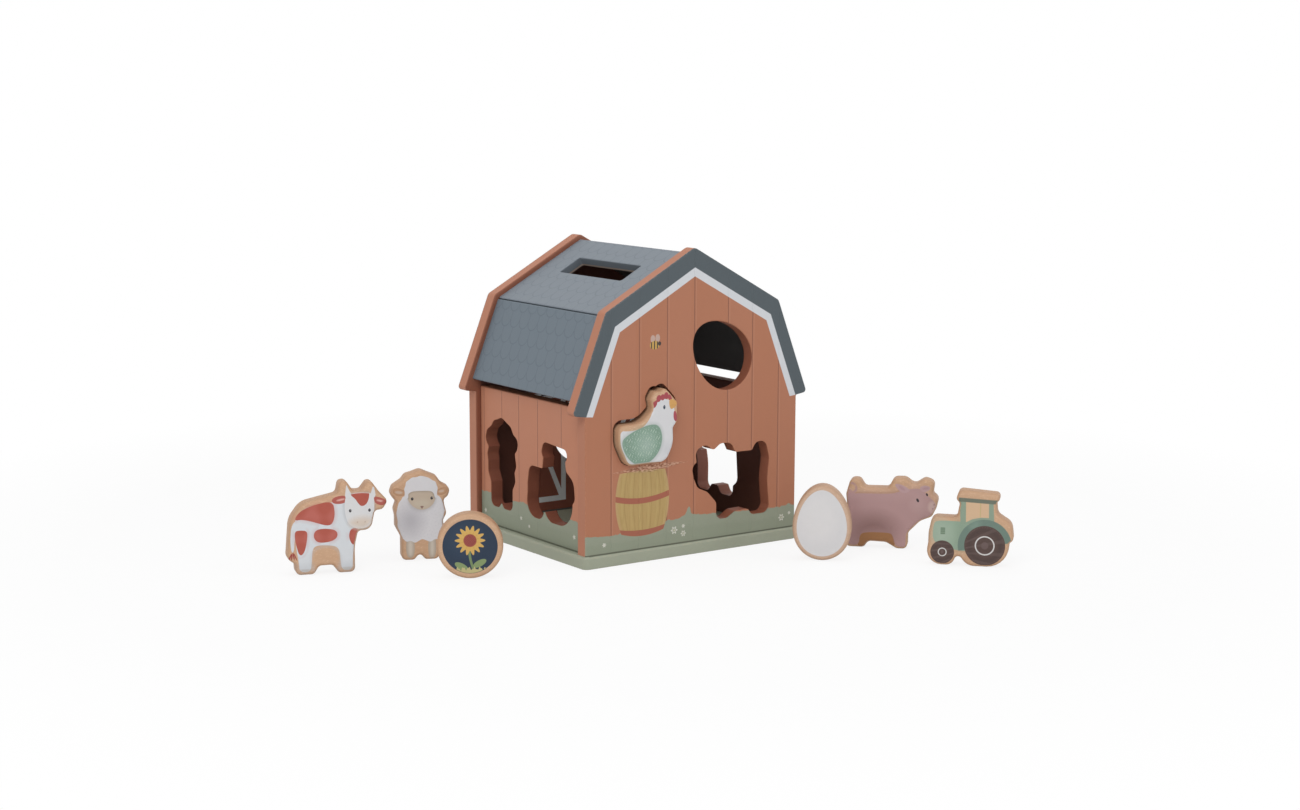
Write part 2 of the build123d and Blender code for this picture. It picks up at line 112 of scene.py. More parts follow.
class Finish:
    """A painted finish. x, y and z are the point's place in mm from the given place, turned about Z."""

    def __init__(self, name, colour, place=(0, 0, 0), turn=0, roughness=0.55):
        self.material = bpy.data.materials.new(name)
        self.material.use_nodes = True
        self.tree = self.material.node_tree
        self.shader = self.tree.nodes["Principled BSDF"]
        mapping = self.tree.nodes.new("ShaderNodeMapping")
        mapping.vector_type = "TEXTURE"
        mapping.inputs["Location"].default_value = [c / 1000 for c in place]
        mapping.inputs["Rotation"].default_value = (0, 0, radians(turn))
        mapping.inputs["Scale"].default_value = (0.001, 0.001, 0.001)
        coordinates = self.tree.nodes.new("ShaderNodeTexCoord")
        self.tree.links.new(coordinates.outputs["Object"], mapping.inputs["Vector"])
        self.point = mapping.outputs["Vector"]
        split = self.tree.nodes.new("ShaderNodeSeparateXYZ")
        self.tree.links.new(self.point, split.inputs["Vector"])
        self.x, self.y, self.z = [Term(self.tree, socket) for socket in split.outputs]
        self.colour = srgb(*colour)
        self.roughness = roughness
        self.height = None

    def noise(self, size, stretch=(1, 1, 1), detail=3):
        """Noise about 0, from -0.5 to 0.5, with lumps of a size in mm, stretched along each axis."""
        scale = self.tree.nodes.new("ShaderNodeVectorMath")
        scale.operation = "DIVIDE"
        scale.inputs[1].default_value = stretch
        self.tree.links.new(self.point, scale.inputs[0])
        texture = self.tree.nodes.new("ShaderNodeTexNoise")
        texture.inputs["Scale"].default_value = 1 / size
        texture.inputs["Detail"].default_value = detail
        self.tree.links.new(scale.outputs["Vector"], texture.inputs["Vector"])
        return Term(self.tree, texture.outputs["Fac"]) - 0.5

    def kept(self, name):
        """A number kept on the piece's vertices."""
        node = self.tree.nodes.new("ShaderNodeAttribute")
        node.attribute_name = name
        return Term(self.tree, node.outputs["Fac"])

    def lay(self, colour, where):
        """Lays a colour over what is there, as far as where says, from 0 to 1."""
        mix = self.tree.nodes.new("ShaderNodeMix")
        mix.data_type = "RGBA"
        self.tree.links.new(where.socket, mix.inputs["Factor"])
        for entry, value in ((mix.inputs[6], self.colour), (mix.inputs[7], srgb(*colour))):
            if isinstance(value, list):
                entry.default_value = value
            else:
                self.tree.links.new(value, entry)
        self.colour = mix.outputs[2]

    def ellipse(self, across, up, centre, half):
        """About 0 on an ellipse's edge, in mm: (sqrt((a / half a) ** 2 + (b / half b) ** 2) - 1) * least half."""
        first, second = (across - centre[0]) / half[0], (up - centre[1]) / half[1]
        return ((first * first + second * second).step("SQRT") - 1) * min(half)

    def raise_by(self, amount, where):
        """Adds a relief to the finish, in mm."""
        self.height = where * amount if self.height is None else self.height + where * amount

    def finished(self, mottle=0.07, lump=5, rough_change=0.15):
        """Mottles the colour and the sheen a little, joins all to the shader and gives the material."""
        tone = self.tree.nodes.new("ShaderNodeHueSaturation")
        cloud = self.noise(lump)
        fine = self.noise(0.35, detail=2)
        value = cloud * mottle + fine * (mottle / 2) + 1
        self.tree.links.new(value.socket, tone.inputs["Value"])
        if isinstance(self.colour, list):
            tone.inputs["Color"].default_value = self.colour
        else:
            self.tree.links.new(self.colour, tone.inputs["Color"])
        self.tree.links.new(tone.outputs["Color"], self.shader.inputs["Base Color"])
        sheen = cloud * rough_change + fine * rough_change + self.roughness
        self.tree.links.new(sheen.socket, self.shader.inputs["Roughness"])
        self.shader.inputs["Specular IOR Level"].default_value = 0.35
        self.raise_by(0.03, fine)
        bump = self.tree.nodes.new("ShaderNodeBump")
        bump.inputs["Distance"].default_value = 0.001
        self.tree.links.new(self.height.socket, bump.inputs["Height"])
        self.tree.links.new(bump.outputs["Normal"], self.shader.inputs["Normal"])
        return self.material

    def onto(self, name):
        """Gives the finished material to a node of the frame."""
        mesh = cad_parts[name].data
        for index in range(len(mesh.materials)):
            mesh.materials[index] = self.material


sage = (156, 161, 143)
bare_wood = (213, 178, 147)
base_top, base_half, house_half = 8, (82.5, 69.75), (78.6, 68.9)

base = Finish("base_paint", sage)
rim = (abs(base.x) - base_half[0]).most(abs(base.y) - base_half[1])
on_top = (base_top - 0.3 - base.z).covers(0.2)
rubbed = (-rim - 0.9).covers(0.6) * (abs(base.z - base_top + 1.1) - 0.4).covers(0.4)
base.lay((178, 170, 146), rubbed * (0.02 - base.noise(3)).covers(0.1) * 0.3)
wall_foot = (abs(base.x) - house_half[0]).most(abs(base.y) - house_half[1])
# painted shade: a dark line on the base's top along the foot of the walls and gables
base.lay((84, 88, 74), wall_foot.covers(0.6) * on_top * 0.85)
base.lay((184, 190, 166), (rim + 11).covers(0.5) * on_top)
base.lay((176, 160, 132), (base.z - 0.25).covers(0.2) * 0.6)
base.raise_by(0.05, base.noise(2.2, stretch=(6, 1, 1)))
base.finished(mottle=0.06, lump=9)
base.onto("base_board")

# Front gable
# A board 9 mm thick, cut for the egg, the hen and the pig, and printed on its outer face: terracotta planks,
# a slate and a white band under the roof line, grass with small flowers along the foot, and a barrel and a bee.

terracotta = (171, 113, 85)
rim_terracotta = (176, 118, 92)
cut_edge_shade = (146, 88, 66)
inside_shade = (92, 51, 39)
plank_brown = (112, 74, 62)
slate, roof_white = (79, 88, 93), (206, 209, 213)
grass = (143, 149, 131)
gable_half, gable_out, board = 81, 68.25, 9
upper_slope, lower_slope = (0.4809, 0.8768, 161.07), (0.9310, 0.3651, 115.30)
plank_grain = (1, 1, 12)


def gable_depth(finish):
    """How deep a point is inside the roof line, in mm, under the upper and under the lower slope. A slope is its
    outward way along X and Z, and its distance from the middle of the base board's top."""
    height = finish.z - base_top
    return [far - (abs(finish.x) * out + height * up) for out, up, far in (upper_slope, lower_slope)]


def plank_lines(finish, along, places, face):
    """A dark line 0.5 mm wide at each place, a faint painted highlight beside it, and every other plank in a lighter
    tone.
    """
    half_plank = 9
    for place in places[::2]:
        lighter = abs(along - place - half_plank) - half_plank
        finish.lay((178, 124, 102), lighter.covers(0.3) * face * 0.13)
    finish.lay(plank_brown, (nearest(along, places) - 0.25).covers(0.2) * face * 0.75)
    # painted highlight: a faint light line beside each groove
    finish.lay((196, 146, 124), (nearest(along - 1.1, places) - 0.25).covers(0.3) * face * 0.25)
    finish.raise_by(-0.12, (nearest(along, places) - 0.3).covers(0.3) * face)


def grass_edge(finish, along, reach, points, face):
    """Grass below a line of points (along, z), drawn as a curve over the reach and roughened by noise, with painted
    shade along the foot.
    """
    tallest = 30
    curve = finish.tree.nodes.new("ShaderNodeFloatCurve")
    line = curve.mapping.curves[0]
    place = [((a + reach) / (2 * reach), z / tallest) for a, z in points]
    for a, z in place[1:-1]:
        line.points.new(a, z)
    line.points[0].location, line.points[-1].location = place[0], place[-1]
    for point in line.points:
        point.handle_type = "VECTOR"
    curve.mapping.update()
    share = (along + reach) / (2 * reach)
    finish.tree.links.new(share.socket, curve.inputs["Value"])
    top = Term(finish.tree, curve.outputs["Value"]) * tallest
    height = finish.z - base_top
    ragged = finish.noise(3.2, stretch=(1, 1, 0.4)) * 2.2
    finish.lay(grass, (height - top + ragged).covers(0.35) * face)
    finish.lay((128, 137, 116), (height - top * 0.55 + ragged * 3).covers(3) * face * 0.28)
    # painted shade: a dark band along the foot of the board, where it meets the base
    finish.lay((88, 90, 76), (height - 0.6).covers(0.4) * face * 0.85)


def daisies(finish, along, flowers, face, petals=6):
    """Small white flowers (centre, radius r): a ring of petals r (0.78 + 0.22 cos(n angle)), open in the middle
    where it is large."""
    for centre, radius in flowers:
        a, b = along - centre[0], finish.z - base_top - centre[1]
        away = (a * a + b * b).step("SQRT")
        petal = away - ((b.step("ARCTAN2", a) * petals).step("COSINE") * 0.22 + 0.78) * radius
        finish.lay((208, 206, 196), petal.covers(0.3) * face * 0.85)
        if radius > 1.8:
            finish.lay(grass, (away - radius * 0.42).covers(0.3) * face)
            finish.lay((206, 200, 176), (away - radius * 0.2).covers(0.2) * face)


def gable_print(name, way, planks, grass_line, white_depths, slate_depths):
    """A gable's print of planks, grass and bands; the bands end at the ears' foot. Gives the finish, the depth
    behind the outer face, the depth inside the outline, and where the face is."""
    finish = Finish(name, terracotta)
    depth = finish.y * way + gable_out
    upper, lower = gable_depth(finish)
    rim = upper.least(lower).least(gable_half - abs(finish.x))
    face = (depth - 0.8).covers(0.2)
    plank_lines(finish, finish.x, planks, face)
    grass_edge(finish, finish.x, gable_half, grass_line, face)
    bands = (abs(finish.x) * 0.09 - (finish.z - base_top) + 78.4).covers(0.25) * face
    for colour, (under_upper, under_lower) in ((roof_white, white_depths), (slate, slate_depths)):
        finish.lay(colour, (upper - under_upper).least(lower - under_lower).covers(0.25) * bands)
    return finish, depth, rim, face


def gable_edges(finish, depth, rim, face, inner=None):
    """The cut edges in painted shade, the rim in terracotta, the inside in painted shade, dark under the roof, and
    light wear with a painted highlight along the edges.
    """
    outer_rim = (rim - 1.4).covers(0.5)
    inside = (board - 0.45 - depth).covers(0.3)
    # painted shade: the cut edges of the holes and the doorway in a darker brown
    finish.lay(cut_edge_shade, (0.6 - depth).covers(0.3) * (1 - outer_rim))
    finish.lay(rim_terracotta, outer_rim * (1 - face))
    if inner:
        # painted shade: the inner face darkened all over, where an inner colour is given
        finish.lay(inner, inside * 0.8)
    # painted shade: the inside face in a dark red-brown below the roof line
    finish.lay(inside_shade, inside * (3.4 - rim).covers(1.6))
    # light wear, partly a painted highlight: a lighter, broken line along the outer edges
    wear_and_highlight = (abs(depth - 0.5) - 0.3).covers(0.3) * (rim - 0.7).covers(0.3)
    finish.lay((200, 152, 122), wear_and_highlight * (finish.noise(1.5) + 0.03).covers(0.2) * 0.2)
    finish.raise_by(0.04, finish.noise(1.6, stretch=plank_grain))
    finish.finished(mottle=0.05, lump=12)


front_planks = (-62.3, -41.6, -20.7, -0.1, 25.9, 45.1, 66.2)
front_grass = [(-81, 11.9), (-63, 10.8), (-32, 13.5), (-19.5, 15.6), (-11.8, 15.3), (-6.5, 17.6), (-3.4, 23.4),
               (-1.6, 17.4), (2.8, 16.6), (13.8, 16.1), (54.4, 14), (73.5, 14.1), (76.2, 15.6), (78, 14.2),
               (81, 14.2)]
front, depth, rim, face = gable_print("front_print", 1, front_planks, front_grass, (15.6, 13.8), (10.8, 9.3))
height = front.z - base_top

# the barrel: half width 20.1 - 0.0105 (z - 31)^2, with bowed hoops and staves
out = front.x + 39
bow = out * out
barrel_half = (height - 31) * (height - 31) * -0.0105 + 20.1
barrel = (abs(out) - barrel_half).most(height - 49 + bow * 0.002).most(bow * 0.01 + 8.2 - height)
on_barrel = barrel.covers(0.25) * face
front.lay((177, 149, 96), on_barrel)
staves = out / barrel_half * 3
stave_line, stave_light = [part.off_step(1) * barrel_half / 3 for part in (staves, staves + 0.3)]
front.lay((142, 114, 68), (stave_line - 0.25).covers(0.3) * on_barrel * 0.35)
front.lay((190, 167, 110), (stave_light - 0.5).covers(1.5) * on_barrel * 0.4)
front.lay((190, 156, 116), (barrel_half - 1.5 - abs(out)).covers(2) * on_barrel * 0.5)
front.lay((158, 130, 80), (front.noise(1.2, stretch=(1, 1, 9)) + 0.08).covers(0.1) * on_barrel * 0.3)
front.lay((160, 94, 74), (abs(height - bow * 0.007 - 30.2) - 1.8).covers(0.25) * on_barrel)
front.lay((157, 94, 74), (height - bow * 0.006 - 11.9).covers(0.25) * on_barrel)

# straw on the barrel's top: wisps that thin out to both ends
strands = front.noise(0.9, stretch=(2.6, 1, 0.6), detail=4)
nest = (abs(front.x + 33) - 24) / 24 * 2.4 + abs(height - 50 - out * 0.03) - 0.2
front.lay((128, 90, 66), (0.035 - strands).covers(0.06) * nest.covers(1.2) * face * 0.75)
front.lay((208, 170, 146), (strands + 0.02).covers(0.06) * nest.covers(1.2) * face * 0.8)
daisies(front, front.x, (((-14.9, 8.7), 2.6), ((-7.9, 10.6), 1.3), ((-7.9, 5.9), 2.0), ((70.0, 6.9), 2.4),
                         ((76.4, 9.2), 1.2), ((-67.4, 5.7), 1.5)), face)

# a bee: a striped body under two pale wings
bee_dark = (66, 58, 56)
body = front.ellipse(front.x, height, (-30.2, 125.6), (3.6, 2.6)).covers(0.3) * face
for centre in ((-31.6, 129.4), (-28.0, 129.8)):
    front.lay((190, 168, 158), front.ellipse(front.x, height, centre, (1.7, 2.4)).covers(0.3) * face * 0.8)
front.lay((196, 158, 84), body)
front.lay(bee_dark, ((front.x + 30.4).off_step(2.2) - 0.42).covers(0.25) * body)
front.lay(bee_dark, front.ellipse(front.x, height, (-26.6, 126.3), (1.2, 1.3)).covers(0.3) * face)
gable_edges(front, depth, rim, face)
front.onto("front_gable")

# Back gable
# The same board as the front gable, with a doorway for the door instead of the cut-outs. It has the same print of
# planks, bands and grass on its outer face, and the inside is a dark red-brown, painted shade.

back_planks = [-place for place in front_planks]
back_grass = [(-81, 14.2), (-60, 15.5), (-52, 13.2), (0, 12), (52, 13), (60, 15.8), (70, 13.6), (81, 12)]
back, depth, rim, face = gable_print("back_print", -1, back_planks, back_grass, (15.8, 13.9), (11.2, 9.4))
daisies(back, back.x, (((-67, 7.4), 2.2), ((-73, 10.4), 1.3), ((60.5, 7.4), 1.5), ((68.6, 8.6), 2.4)), face)
# the back gable's inner colour is painted shade
gable_edges(back, depth, rim, face, inner=(134, 82, 62))
back.onto("back_gable")

# Side walls
# Two boards between the gables, doweled to them. The left one is cut for the sheep and the tractor, the right one for
# the cow. Outside they have planks and grass as the gables have, in a lighter terracotta that is painted light; their
# cut edges and inside are a darker red-brown, painted shade.

wall_out, wall_top, wall_half = 77.2, 88.3, 60
wall_planks = (-35.8, -8.8, 13.3, 33.7, 55.5)
left_grass = [(-60, 18.4), (-40, 19.2), (-30, 18.6), (-12, 20.4), (-3, 19.4), (8, 20.6), (24, 19.2), (44, 20.8),
              (60, 20.2)]
right_grass = [(-a, z) for a, z in reversed(left_grass)]
wall_flowers = (((11.1, 9.9), 1.4), ((1.6, 6.3), 1.2), ((-50.0, 8.6), 1.6), ((54.6, 7.9), 1.5))
for side, node, grass_line in ((-1, "left_wall", left_grass), (1, "right_wall", right_grass)):
    # painted light: the walls take a lighter copy of the gables' terracotta
    wall = Finish(node + "_print", (186, 125, 97))
    along = wall.y * -side
    depth = wall_out - wall.x * side
    face = (depth - 0.3).covers(0.2)
    plank_lines(wall, wall.y, wall_planks, face)
    grass_edge(wall, along, wall_half, grass_line, face)
    daisies(wall, along, wall_flowers, face, petals=5)
    # painted shade: the cut edges in a darker brown
    wall.lay((134, 79, 60), (0.45 - depth).covers(0.3))
    wall.lay(rim_terracotta, (wall_top - (wall.z - base_top)).covers(0.3))
    # painted shade: the inside face in a dark red-brown
    wall.lay(inside_shade, (board - 0.45 - depth).covers(0.3))
    wall.raise_by(0.04, wall.noise(1.6, stretch=plank_grain))
    wall.finished(mottle=0.05, lump=12)
    wall.onto(node)

# Roof boards
# Four boards, 6 mm thick, between the gables, set in below their rim, mitred at ridge and knee. The upper left one has
# the posting slot. They are slate, the lower ones in a darker copy of it as painted shade, with a print of fish-scale
# shingles in the same tone on the outer face. Their cut edges are darkened as painted shade; the underside is a darker
# slate, painted shade, and a strip of bare wood shows above it in the slot.

scale, roof_inset, roof_thickness = 10.5, 3.2, 6
# painted shade: the lower boards take a darker copy of the slate, as they face less of the light from above
for level, (out, up, far), paint, line_paint in (
    ("upper", upper_slope, (122, 130, 138), (98, 107, 116)),
    ("lower", lower_slope, (105, 116, 125), (84, 96, 107)),
):
    for side_name, side in (("left", -1), ("right", 1)):
        node = f"{level}_{side_name}_roof"
        roof = Finish(node + "_print", paint)
        height = roof.z - base_top
        outward = roof.x * (out * side) + height * up - far + roof_inset
        down = roof.x * (up * side) + height * -out
        face = (-(outward + 0.3)).covers(0.2)
        # each row of scales ends in half circles, and is half a scale on from the row above it
        row = ((down / scale).step("FLOOR") * 0.5).step("FRACT") * scale
        across = (roof.y + row).off_step(scale)
        below = (down / scale).step("FRACT") * scale
        arc = (across * across + (below - scale / 2) * (below - scale / 2)).step("SQRT") - 4.9
        sides = abs(across - scale / 2) - 0.3
        edge = (abs(arc) - 0.35).most(5.2 - below).least(sides.most(below - 5.4))
        roof.lay(line_paint, (edge + roof.noise(2.5) * 0.4).covers(0.4) * face * 0.45)
        roof.raise_by(-0.05, edge.covers(0.6) * face)
        # painted shade: the cut edges in a darker copy of the slate
        roof.lay([c - 30 for c in paint], (outward + 0.5).covers(0.4) * 0.5)
        roof.lay((190, 156, 126), (outward + roof_thickness - 1.2).covers(0.3) * 0.5)
        # painted shade: the underside in a dark slate
        roof.lay((80, 82, 84), (outward + roof_thickness - 0.2).covers(0.2))
        roof.finished(mottle=0.05, lump=10)
        roof.onto(node)

# Back door
# A board that turns in the back gable on two steel pins, with the round block's cut-out. Both faces are terracotta
# with a painted frame of two pale leaves, each with a rail at foot and head, two stiles and one brace. The inner face
# is darkened and the cut edges are a darker brown, both painted shade.

door_y, pin_x = 63.75, -42.5
door = Finish("door_print", (160, 107, 86))
height = door.z - base_top
out = abs(door.x)
faces = (4.2 - abs(door.y - door_y)).covers(0.2)
brace = abs((out - 15.6) * 2.35 - (height - 10.3)) * 0.3916 - 1.7
leaf = (abs(out - 27.95) - 16.05).most(abs(height - 43.4) - 36.7)
stiles = (abs(out - 13.75) - 1.85).least(abs(out - 42.1) - 1.9)
rails = (abs(height - 8.5) - 1.8).least(abs(height - 78) - 1.9)
plank_lines(door, door.x, (-31.2, -21.5, 0.0, 21.5, 31.2), faces)
# painted shade: the inner face, towards the dark inside, in a darker terracotta
door.lay((142, 80, 62), (door.y - 59.6).covers(0.2))
door.lay((236, 238, 240), stiles.least(rails).least(brace).most(leaf).covers(0.25) * faces)
# painted shade: the door's cut edges in a darker brown
door.lay(cut_edge_shade, 1 - faces)
door.raise_by(0.05, door.noise(1.6, stretch=plank_grain))
door.finished(mottle=0.06, lump=9)
door.onto("back_door")

# Door pins and magnets
# Two drawn steel pins, pressed into the door, and two nickel-plated disc magnets, one in the door and one in the
# gable, that hold it shut. The metal has fine lines from drawing and polishing.


def bright_metal(name, colour, place, roughness, line_size):
    """Bright metal with fine lines across its axis, and the marks of handling."""
    metal = Finish(name, colour, place, roughness=roughness)
    lines = metal.noise(line_size, stretch=(8, 8, 1))
    metal.lay([c * 0.75 for c in colour], (-lines).covers(0.2) * 0.4)
    metal.raise_by(0.01, lines)
    metal.shader.inputs["Metallic"].default_value = 1
    metal.finished(mottle=0.08, lump=2, rough_change=0.2)
    return metal


steel = bright_metal("pin_steel", (176, 176, 178), (pin_x, door_y, 0), 0.3, 0.25)
steel.onto("door_pin_upper")
steel.onto("door_pin_lower")
nickel = bright_metal("magnet_nickel", (198, 196, 190), (47, door_y, 49), 0.18, 0.5)
nickel.onto("door_magnet")
nickel.onto("jamb_magnet")

# Dowels and screws
# Beech dowels, glued in between the boards, and zinc-plated cross-head screws, driven in from under the base
# board. The dowels show short dark pores.

beech = Finish("dowel_beech", (206, 168, 128))
pores = beech.noise(0.5, stretch=(1, 9, 1))
beech.lay((176, 134, 96), (-pores - 0.05).covers(0.12) * 0.6)
beech.raise_by(0.04, pores)
beech.finished(mottle=0.1, lump=3)
beech.onto("wall_dowels")
beech.onto("roof_dowels")
zinc = bright_metal("screw_zinc", (170, 172, 176), (0, 0, 0), 0.35, 0.3)
zinc.onto("base_screws")

# Cow block
# A figure sawn from a 12 mm beech board, both faces' edges rounded, sanded, and printed on both faces: white, with
# red-brown patches. The bare wood shows round the print and on the sawn edge.

cell = 0.4
block_half, block_round = 6.0, 2.2


def rounded_line(corners, steps=8):
    """The closed line through the corners (x, z, radius), each an arc that touches both sides: its centre lies
    r / sin(half the corner's angle) inside the corner, and the arc turns by pi less the angle."""
    corners = np.array(corners, float)
    spot, radius = corners[:, :2], corners[:, 2:]
    back_way, on_way = np.roll(spot, 1, 0) - spot, np.roll(spot, -1, 0) - spot
    back_way /= np.linalg.norm(back_way, axis=1, keepdims=True)
    on_way /= np.linalg.norm(on_way, axis=1, keepdims=True)
    inward = back_way + on_way
    inward /= np.linalg.norm(inward, axis=1, keepdims=True)
    half = np.arccos(np.clip((back_way * inward).sum(1), -1, 1))
    centre = spot + inward * radius / np.sin(half)[:, None]
    foot = spot + back_way * radius / np.tan(half)[:, None] - centre
    turn = np.sign(on_way[:, 0] * back_way[:, 1] - on_way[:, 1] * back_way[:, 0]) * (pi - 2 * half)
    angle = np.arctan2(foot[:, 1], foot[:, 0])[:, None] + turn[:, None] * np.linspace(0, 1, steps)
    arcs = centre[:, None] + radius[:, None] * np.stack([np.cos(angle), np.sin(angle)], -1)
    return arcs.reshape(-1, 2)


def softened(points, rounds=2):
    """A closed line with its corners cut to curves: each run gives way to its points at 1/4 and 3/4, twice."""
    points = np.array(points, float)
    for _ in range(rounds):
        after = np.roll(points, -1, 0)
        points = np.stack([points * 0.75 + after * 0.25, points * 0.25 + after * 0.75], 1).reshape(-1, 2)
    return points


def oval(centre, half, turn=0, taper=0):
    """An ellipse, or an egg where taper isn't 0: x = a cos t (1 - taper sin t), z = b sin t, turned by degrees."""
    t = np.linspace(0, 2 * pi, 96, endpoint=False)
    x, z = half[0] * np.cos(t) * (1 - taper * np.sin(t)), half[1] * np.sin(t)
    c, s = np.cos(radians(turn)), np.sin(radians(turn))
    return np.stack([centre[0] + x * c - z * s, centre[1] + x * s + z * c], 1)


def from_line(points, line):
    """The signed distance of each point to a closed line, below 0 inside, and the nearest point of the line. The
    nearest point lies at share (off . run) / (run . run) of a run; a ray to the right that crosses an odd number of
    runs starts inside."""
    run = np.roll(line, -1, 0) - line
    found = []
    for part in np.array_split(points, len(points) // 3000 + 1):
        off = part[:, None] - line
        share = np.clip((off * run).sum(2) / np.maximum((run**2).sum(1), 1e-12), 0, 1)
        gap = off - share[..., None] * run
        size = (gap**2).sum(2)
        best = size.argmin(1)
        rows = np.arange(len(part))
        below = off[..., 1] < 0
        crossed = below != np.roll(below, -1, 1)
        left = (off[..., 0] * run[:, 1] - off[..., 1] * run[:, 0] < 0) == (run[:, 1] > 0)
        sign = 1 - 2 * ((crossed & left).sum(1) % 2)
        found.append(np.column_stack([np.sqrt(size[rows, best]) * sign, part - gap[rows, best]]))
    found = np.concatenate(found)
    return found[:, 0], found[:, 1:]


def within(*distances):
    """The signed distance to what lies in all of some areas: the greatest of theirs."""
    return reduce(np.maximum, distances)


def joined(*distances):
    """The signed distance to what lies in any of some areas: the least of theirs."""
    return reduce(np.minimum, distances)


class Block:
    """A shape block, standing on the floor or held in its cut-out: a grid of cells inside its outline, with the cells
    at the edge drawn onto the line, both faces' edges rounded, and the sawn edge between them."""

    def __init__(self, node, body, line, place, turn, lift=0):
        low, high = line.min(0) - 2 * cell, line.max(0) + 2 * cell
        u, v = np.meshgrid(*[np.arange(low[axis], high[axis], cell) for axis in (0, 1)], indexing="ij")
        grid = np.stack([u, v], -1).reshape(-1, 2)
        depth, foot = from_line(grid, line)
        on_edge = abs(depth) < 0.71 * cell
        grid[on_edge] = foot[on_edge]
        kind = np.where(on_edge, 0, np.sign(depth))
        index = np.arange(u.size).reshape(u.shape)
        around = [index[:-1, :-1], index[1:, :-1], index[1:, 1:], index[:-1, 1:]]
        quads = np.stack(around, -1).reshape(-1, 4)
        corners = kind[quads]
        inner = (corners <= 0).all(1) & (corners < 0).any(1)
        doubtful = np.flatnonzero((corners == 0).all(1))
        if len(doubtful):
            inner[doubtful] = from_line(grid[quads[doubtful]].mean(1), line)[0] < -0.2 * cell
        quads = quads[inner]
        used, quads = np.unique(quads, return_inverse=True)
        quads = quads.reshape(-1, 4)
        grid, foot = grid[used], foot[used]
        inside = np.where(on_edge, 0, -depth)[used]
        # the rounded edge: depth in the face becomes an angle up to a quarter turn, then eases back to the grid
        angle = np.clip(inside / 3, 0, 1) * pi / 2
        easing = block_round + (inside - 3) * (6 - block_round) / 3
        moved = np.where(inside < 3, block_round * (1 - np.cos(angle)), np.where(inside < 6, easing, inside))
        self.flat = foot + (grid - foot) * (moved / np.maximum(inside, 1e-9))[:, None]
        out = block_half - block_round + block_round * np.sin(angle)
        starts, ends = quads.ravel(), np.roll(quads, -1, 1).ravel()
        count = len(used)
        loose = ~np.isin(starts * count + ends, ends * count + starts)
        a, b = starts[loose], ends[loose]
        sawn = np.stack([b, a, a + count, b + count], 1)
        yaw = radians(turn)
        across, outward = np.array([np.cos(yaw), np.sin(yaw), 0]), np.array([np.sin(yaw), -np.cos(yaw), 0])
        middle = np.array([*place, lift]) + self.flat[:, :1] * across + self.flat[:, 1:] * np.array([0, 0, 1])
        spots = [middle + side * out[:, None] * outward for side in (1, -1)]
        faces = np.concatenate([quads, quads[:, ::-1] + count, sawn])
        mesh = bpy.data.meshes.new(node + "_figure")
        mesh.from_pydata(np.concatenate(spots) / 1000, [], faces.tolist())
        mesh.shade_smooth()
        mesh.update()
        self.mesh, self.piece = mesh, bpy.data.objects.new(node + "_figure", mesh)
        bpy.context.scene.collection.objects.link(self.piece)
        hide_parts(node)
        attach(self.piece, body)
        self.rim = from_line(self.flat, line)[0]
        self.finish = Finish(node + "_print", bare_wood, (*place, lift), turn)
        wood_grain(self.finish)
        self.lay("edge_shade", (166, 128, 98), -self.rim - 0.9, soft=1.8, strength=0.55)

    def area(self, *lines):
        """The signed distance to the nearest of some closed lines, below 0 inside any of them. A list of corners is
        softened first."""
        lines = [softened(line) if isinstance(line, list) else line for line in lines]
        return joined(*[from_line(self.flat, line)[0] for line in lines])

    def lay(self, name, colour, distance, soft=0.15, strength=1.0, raised=0.0):
        """Keeps a signed distance on both faces and paints the colour where it is below 0."""
        kept = self.mesh.attributes.new(name, "FLOAT", "POINT")
        kept.data.foreach_set("value", np.tile(distance, 2).astype(np.float32))
        where = self.finish.kept(name).covers(soft)
        self.finish.lay(colour, where * strength)
        if raised:
            self.finish.raise_by(raised, where)

    def eyes(self, colour, centres, half, light_half, light=(224, 224, 226)):
        """Oval eyes, each with a small light up and to the right of its middle."""
        self.lay("eyes", colour, self.area(*[oval(centre, half) for centre in centres]), soft=0.2)
        self.lay("eye_light", light, self.area(*[oval((u + 0.3, v + 0.4), light_half) for u, v in centres]))

    def done(self):
        """Finishes the print and gives it to the block."""
        self.finish.finished(mottle=0.05, lump=4)
        self.mesh.materials.append(self.finish.material)


def wood_grain(finish):
    """Bare beech: long soft bands along the grain and short dark flecks."""
    bands = finish.noise(3.0, stretch=(7, 1.5, 1))
    flecks = finish.noise(0.4, stretch=(5, 1, 1), detail=1)
    finish.lay((198, 160, 128), (-bands).covers(0.3) * 0.45)
    finish.lay((182, 142, 110), (-flecks - 0.11).covers(0.05) * 0.45)
    finish.raise_by(0.05, bands)


cow_line = rounded_line([(-17.5, 0, 3), (-6.8, 0, 3), (-3.6, 5, 3), (4.6, 5.1, 3), (8.2, 0, 3), (18.2, 0, 3),
    (18.1, 15.5, 30), (20.3, 25.1, 2.6), (28.3, 25.3, 5.5), (30.7, 37, 2.6), (35.5, 37.4, 3.2),
    (38.8, 42.5, 3), (33, 49, 5), (28.9, 54.9, 2.2), (26.2, 54.6, 2.2), (22.3, 49.5, 3), (17.6, 49.8, 3),
    (13.5, 56.1, 2.6), (9.4, 55.6, 2.6), (7.9, 48.3, 3), (-13.6, 43.7, 12), (-20.8, 34, 14),
    (-22.8, 10.3, 4.2), (-18, 6.7, 2.6)])
print_white, patch_red, soft_grey = (209, 213, 217), (172, 86, 72), (182, 182, 184)
cow = Block("cow_block", "cow", cow_line, (-214, 16.6), -17.7)
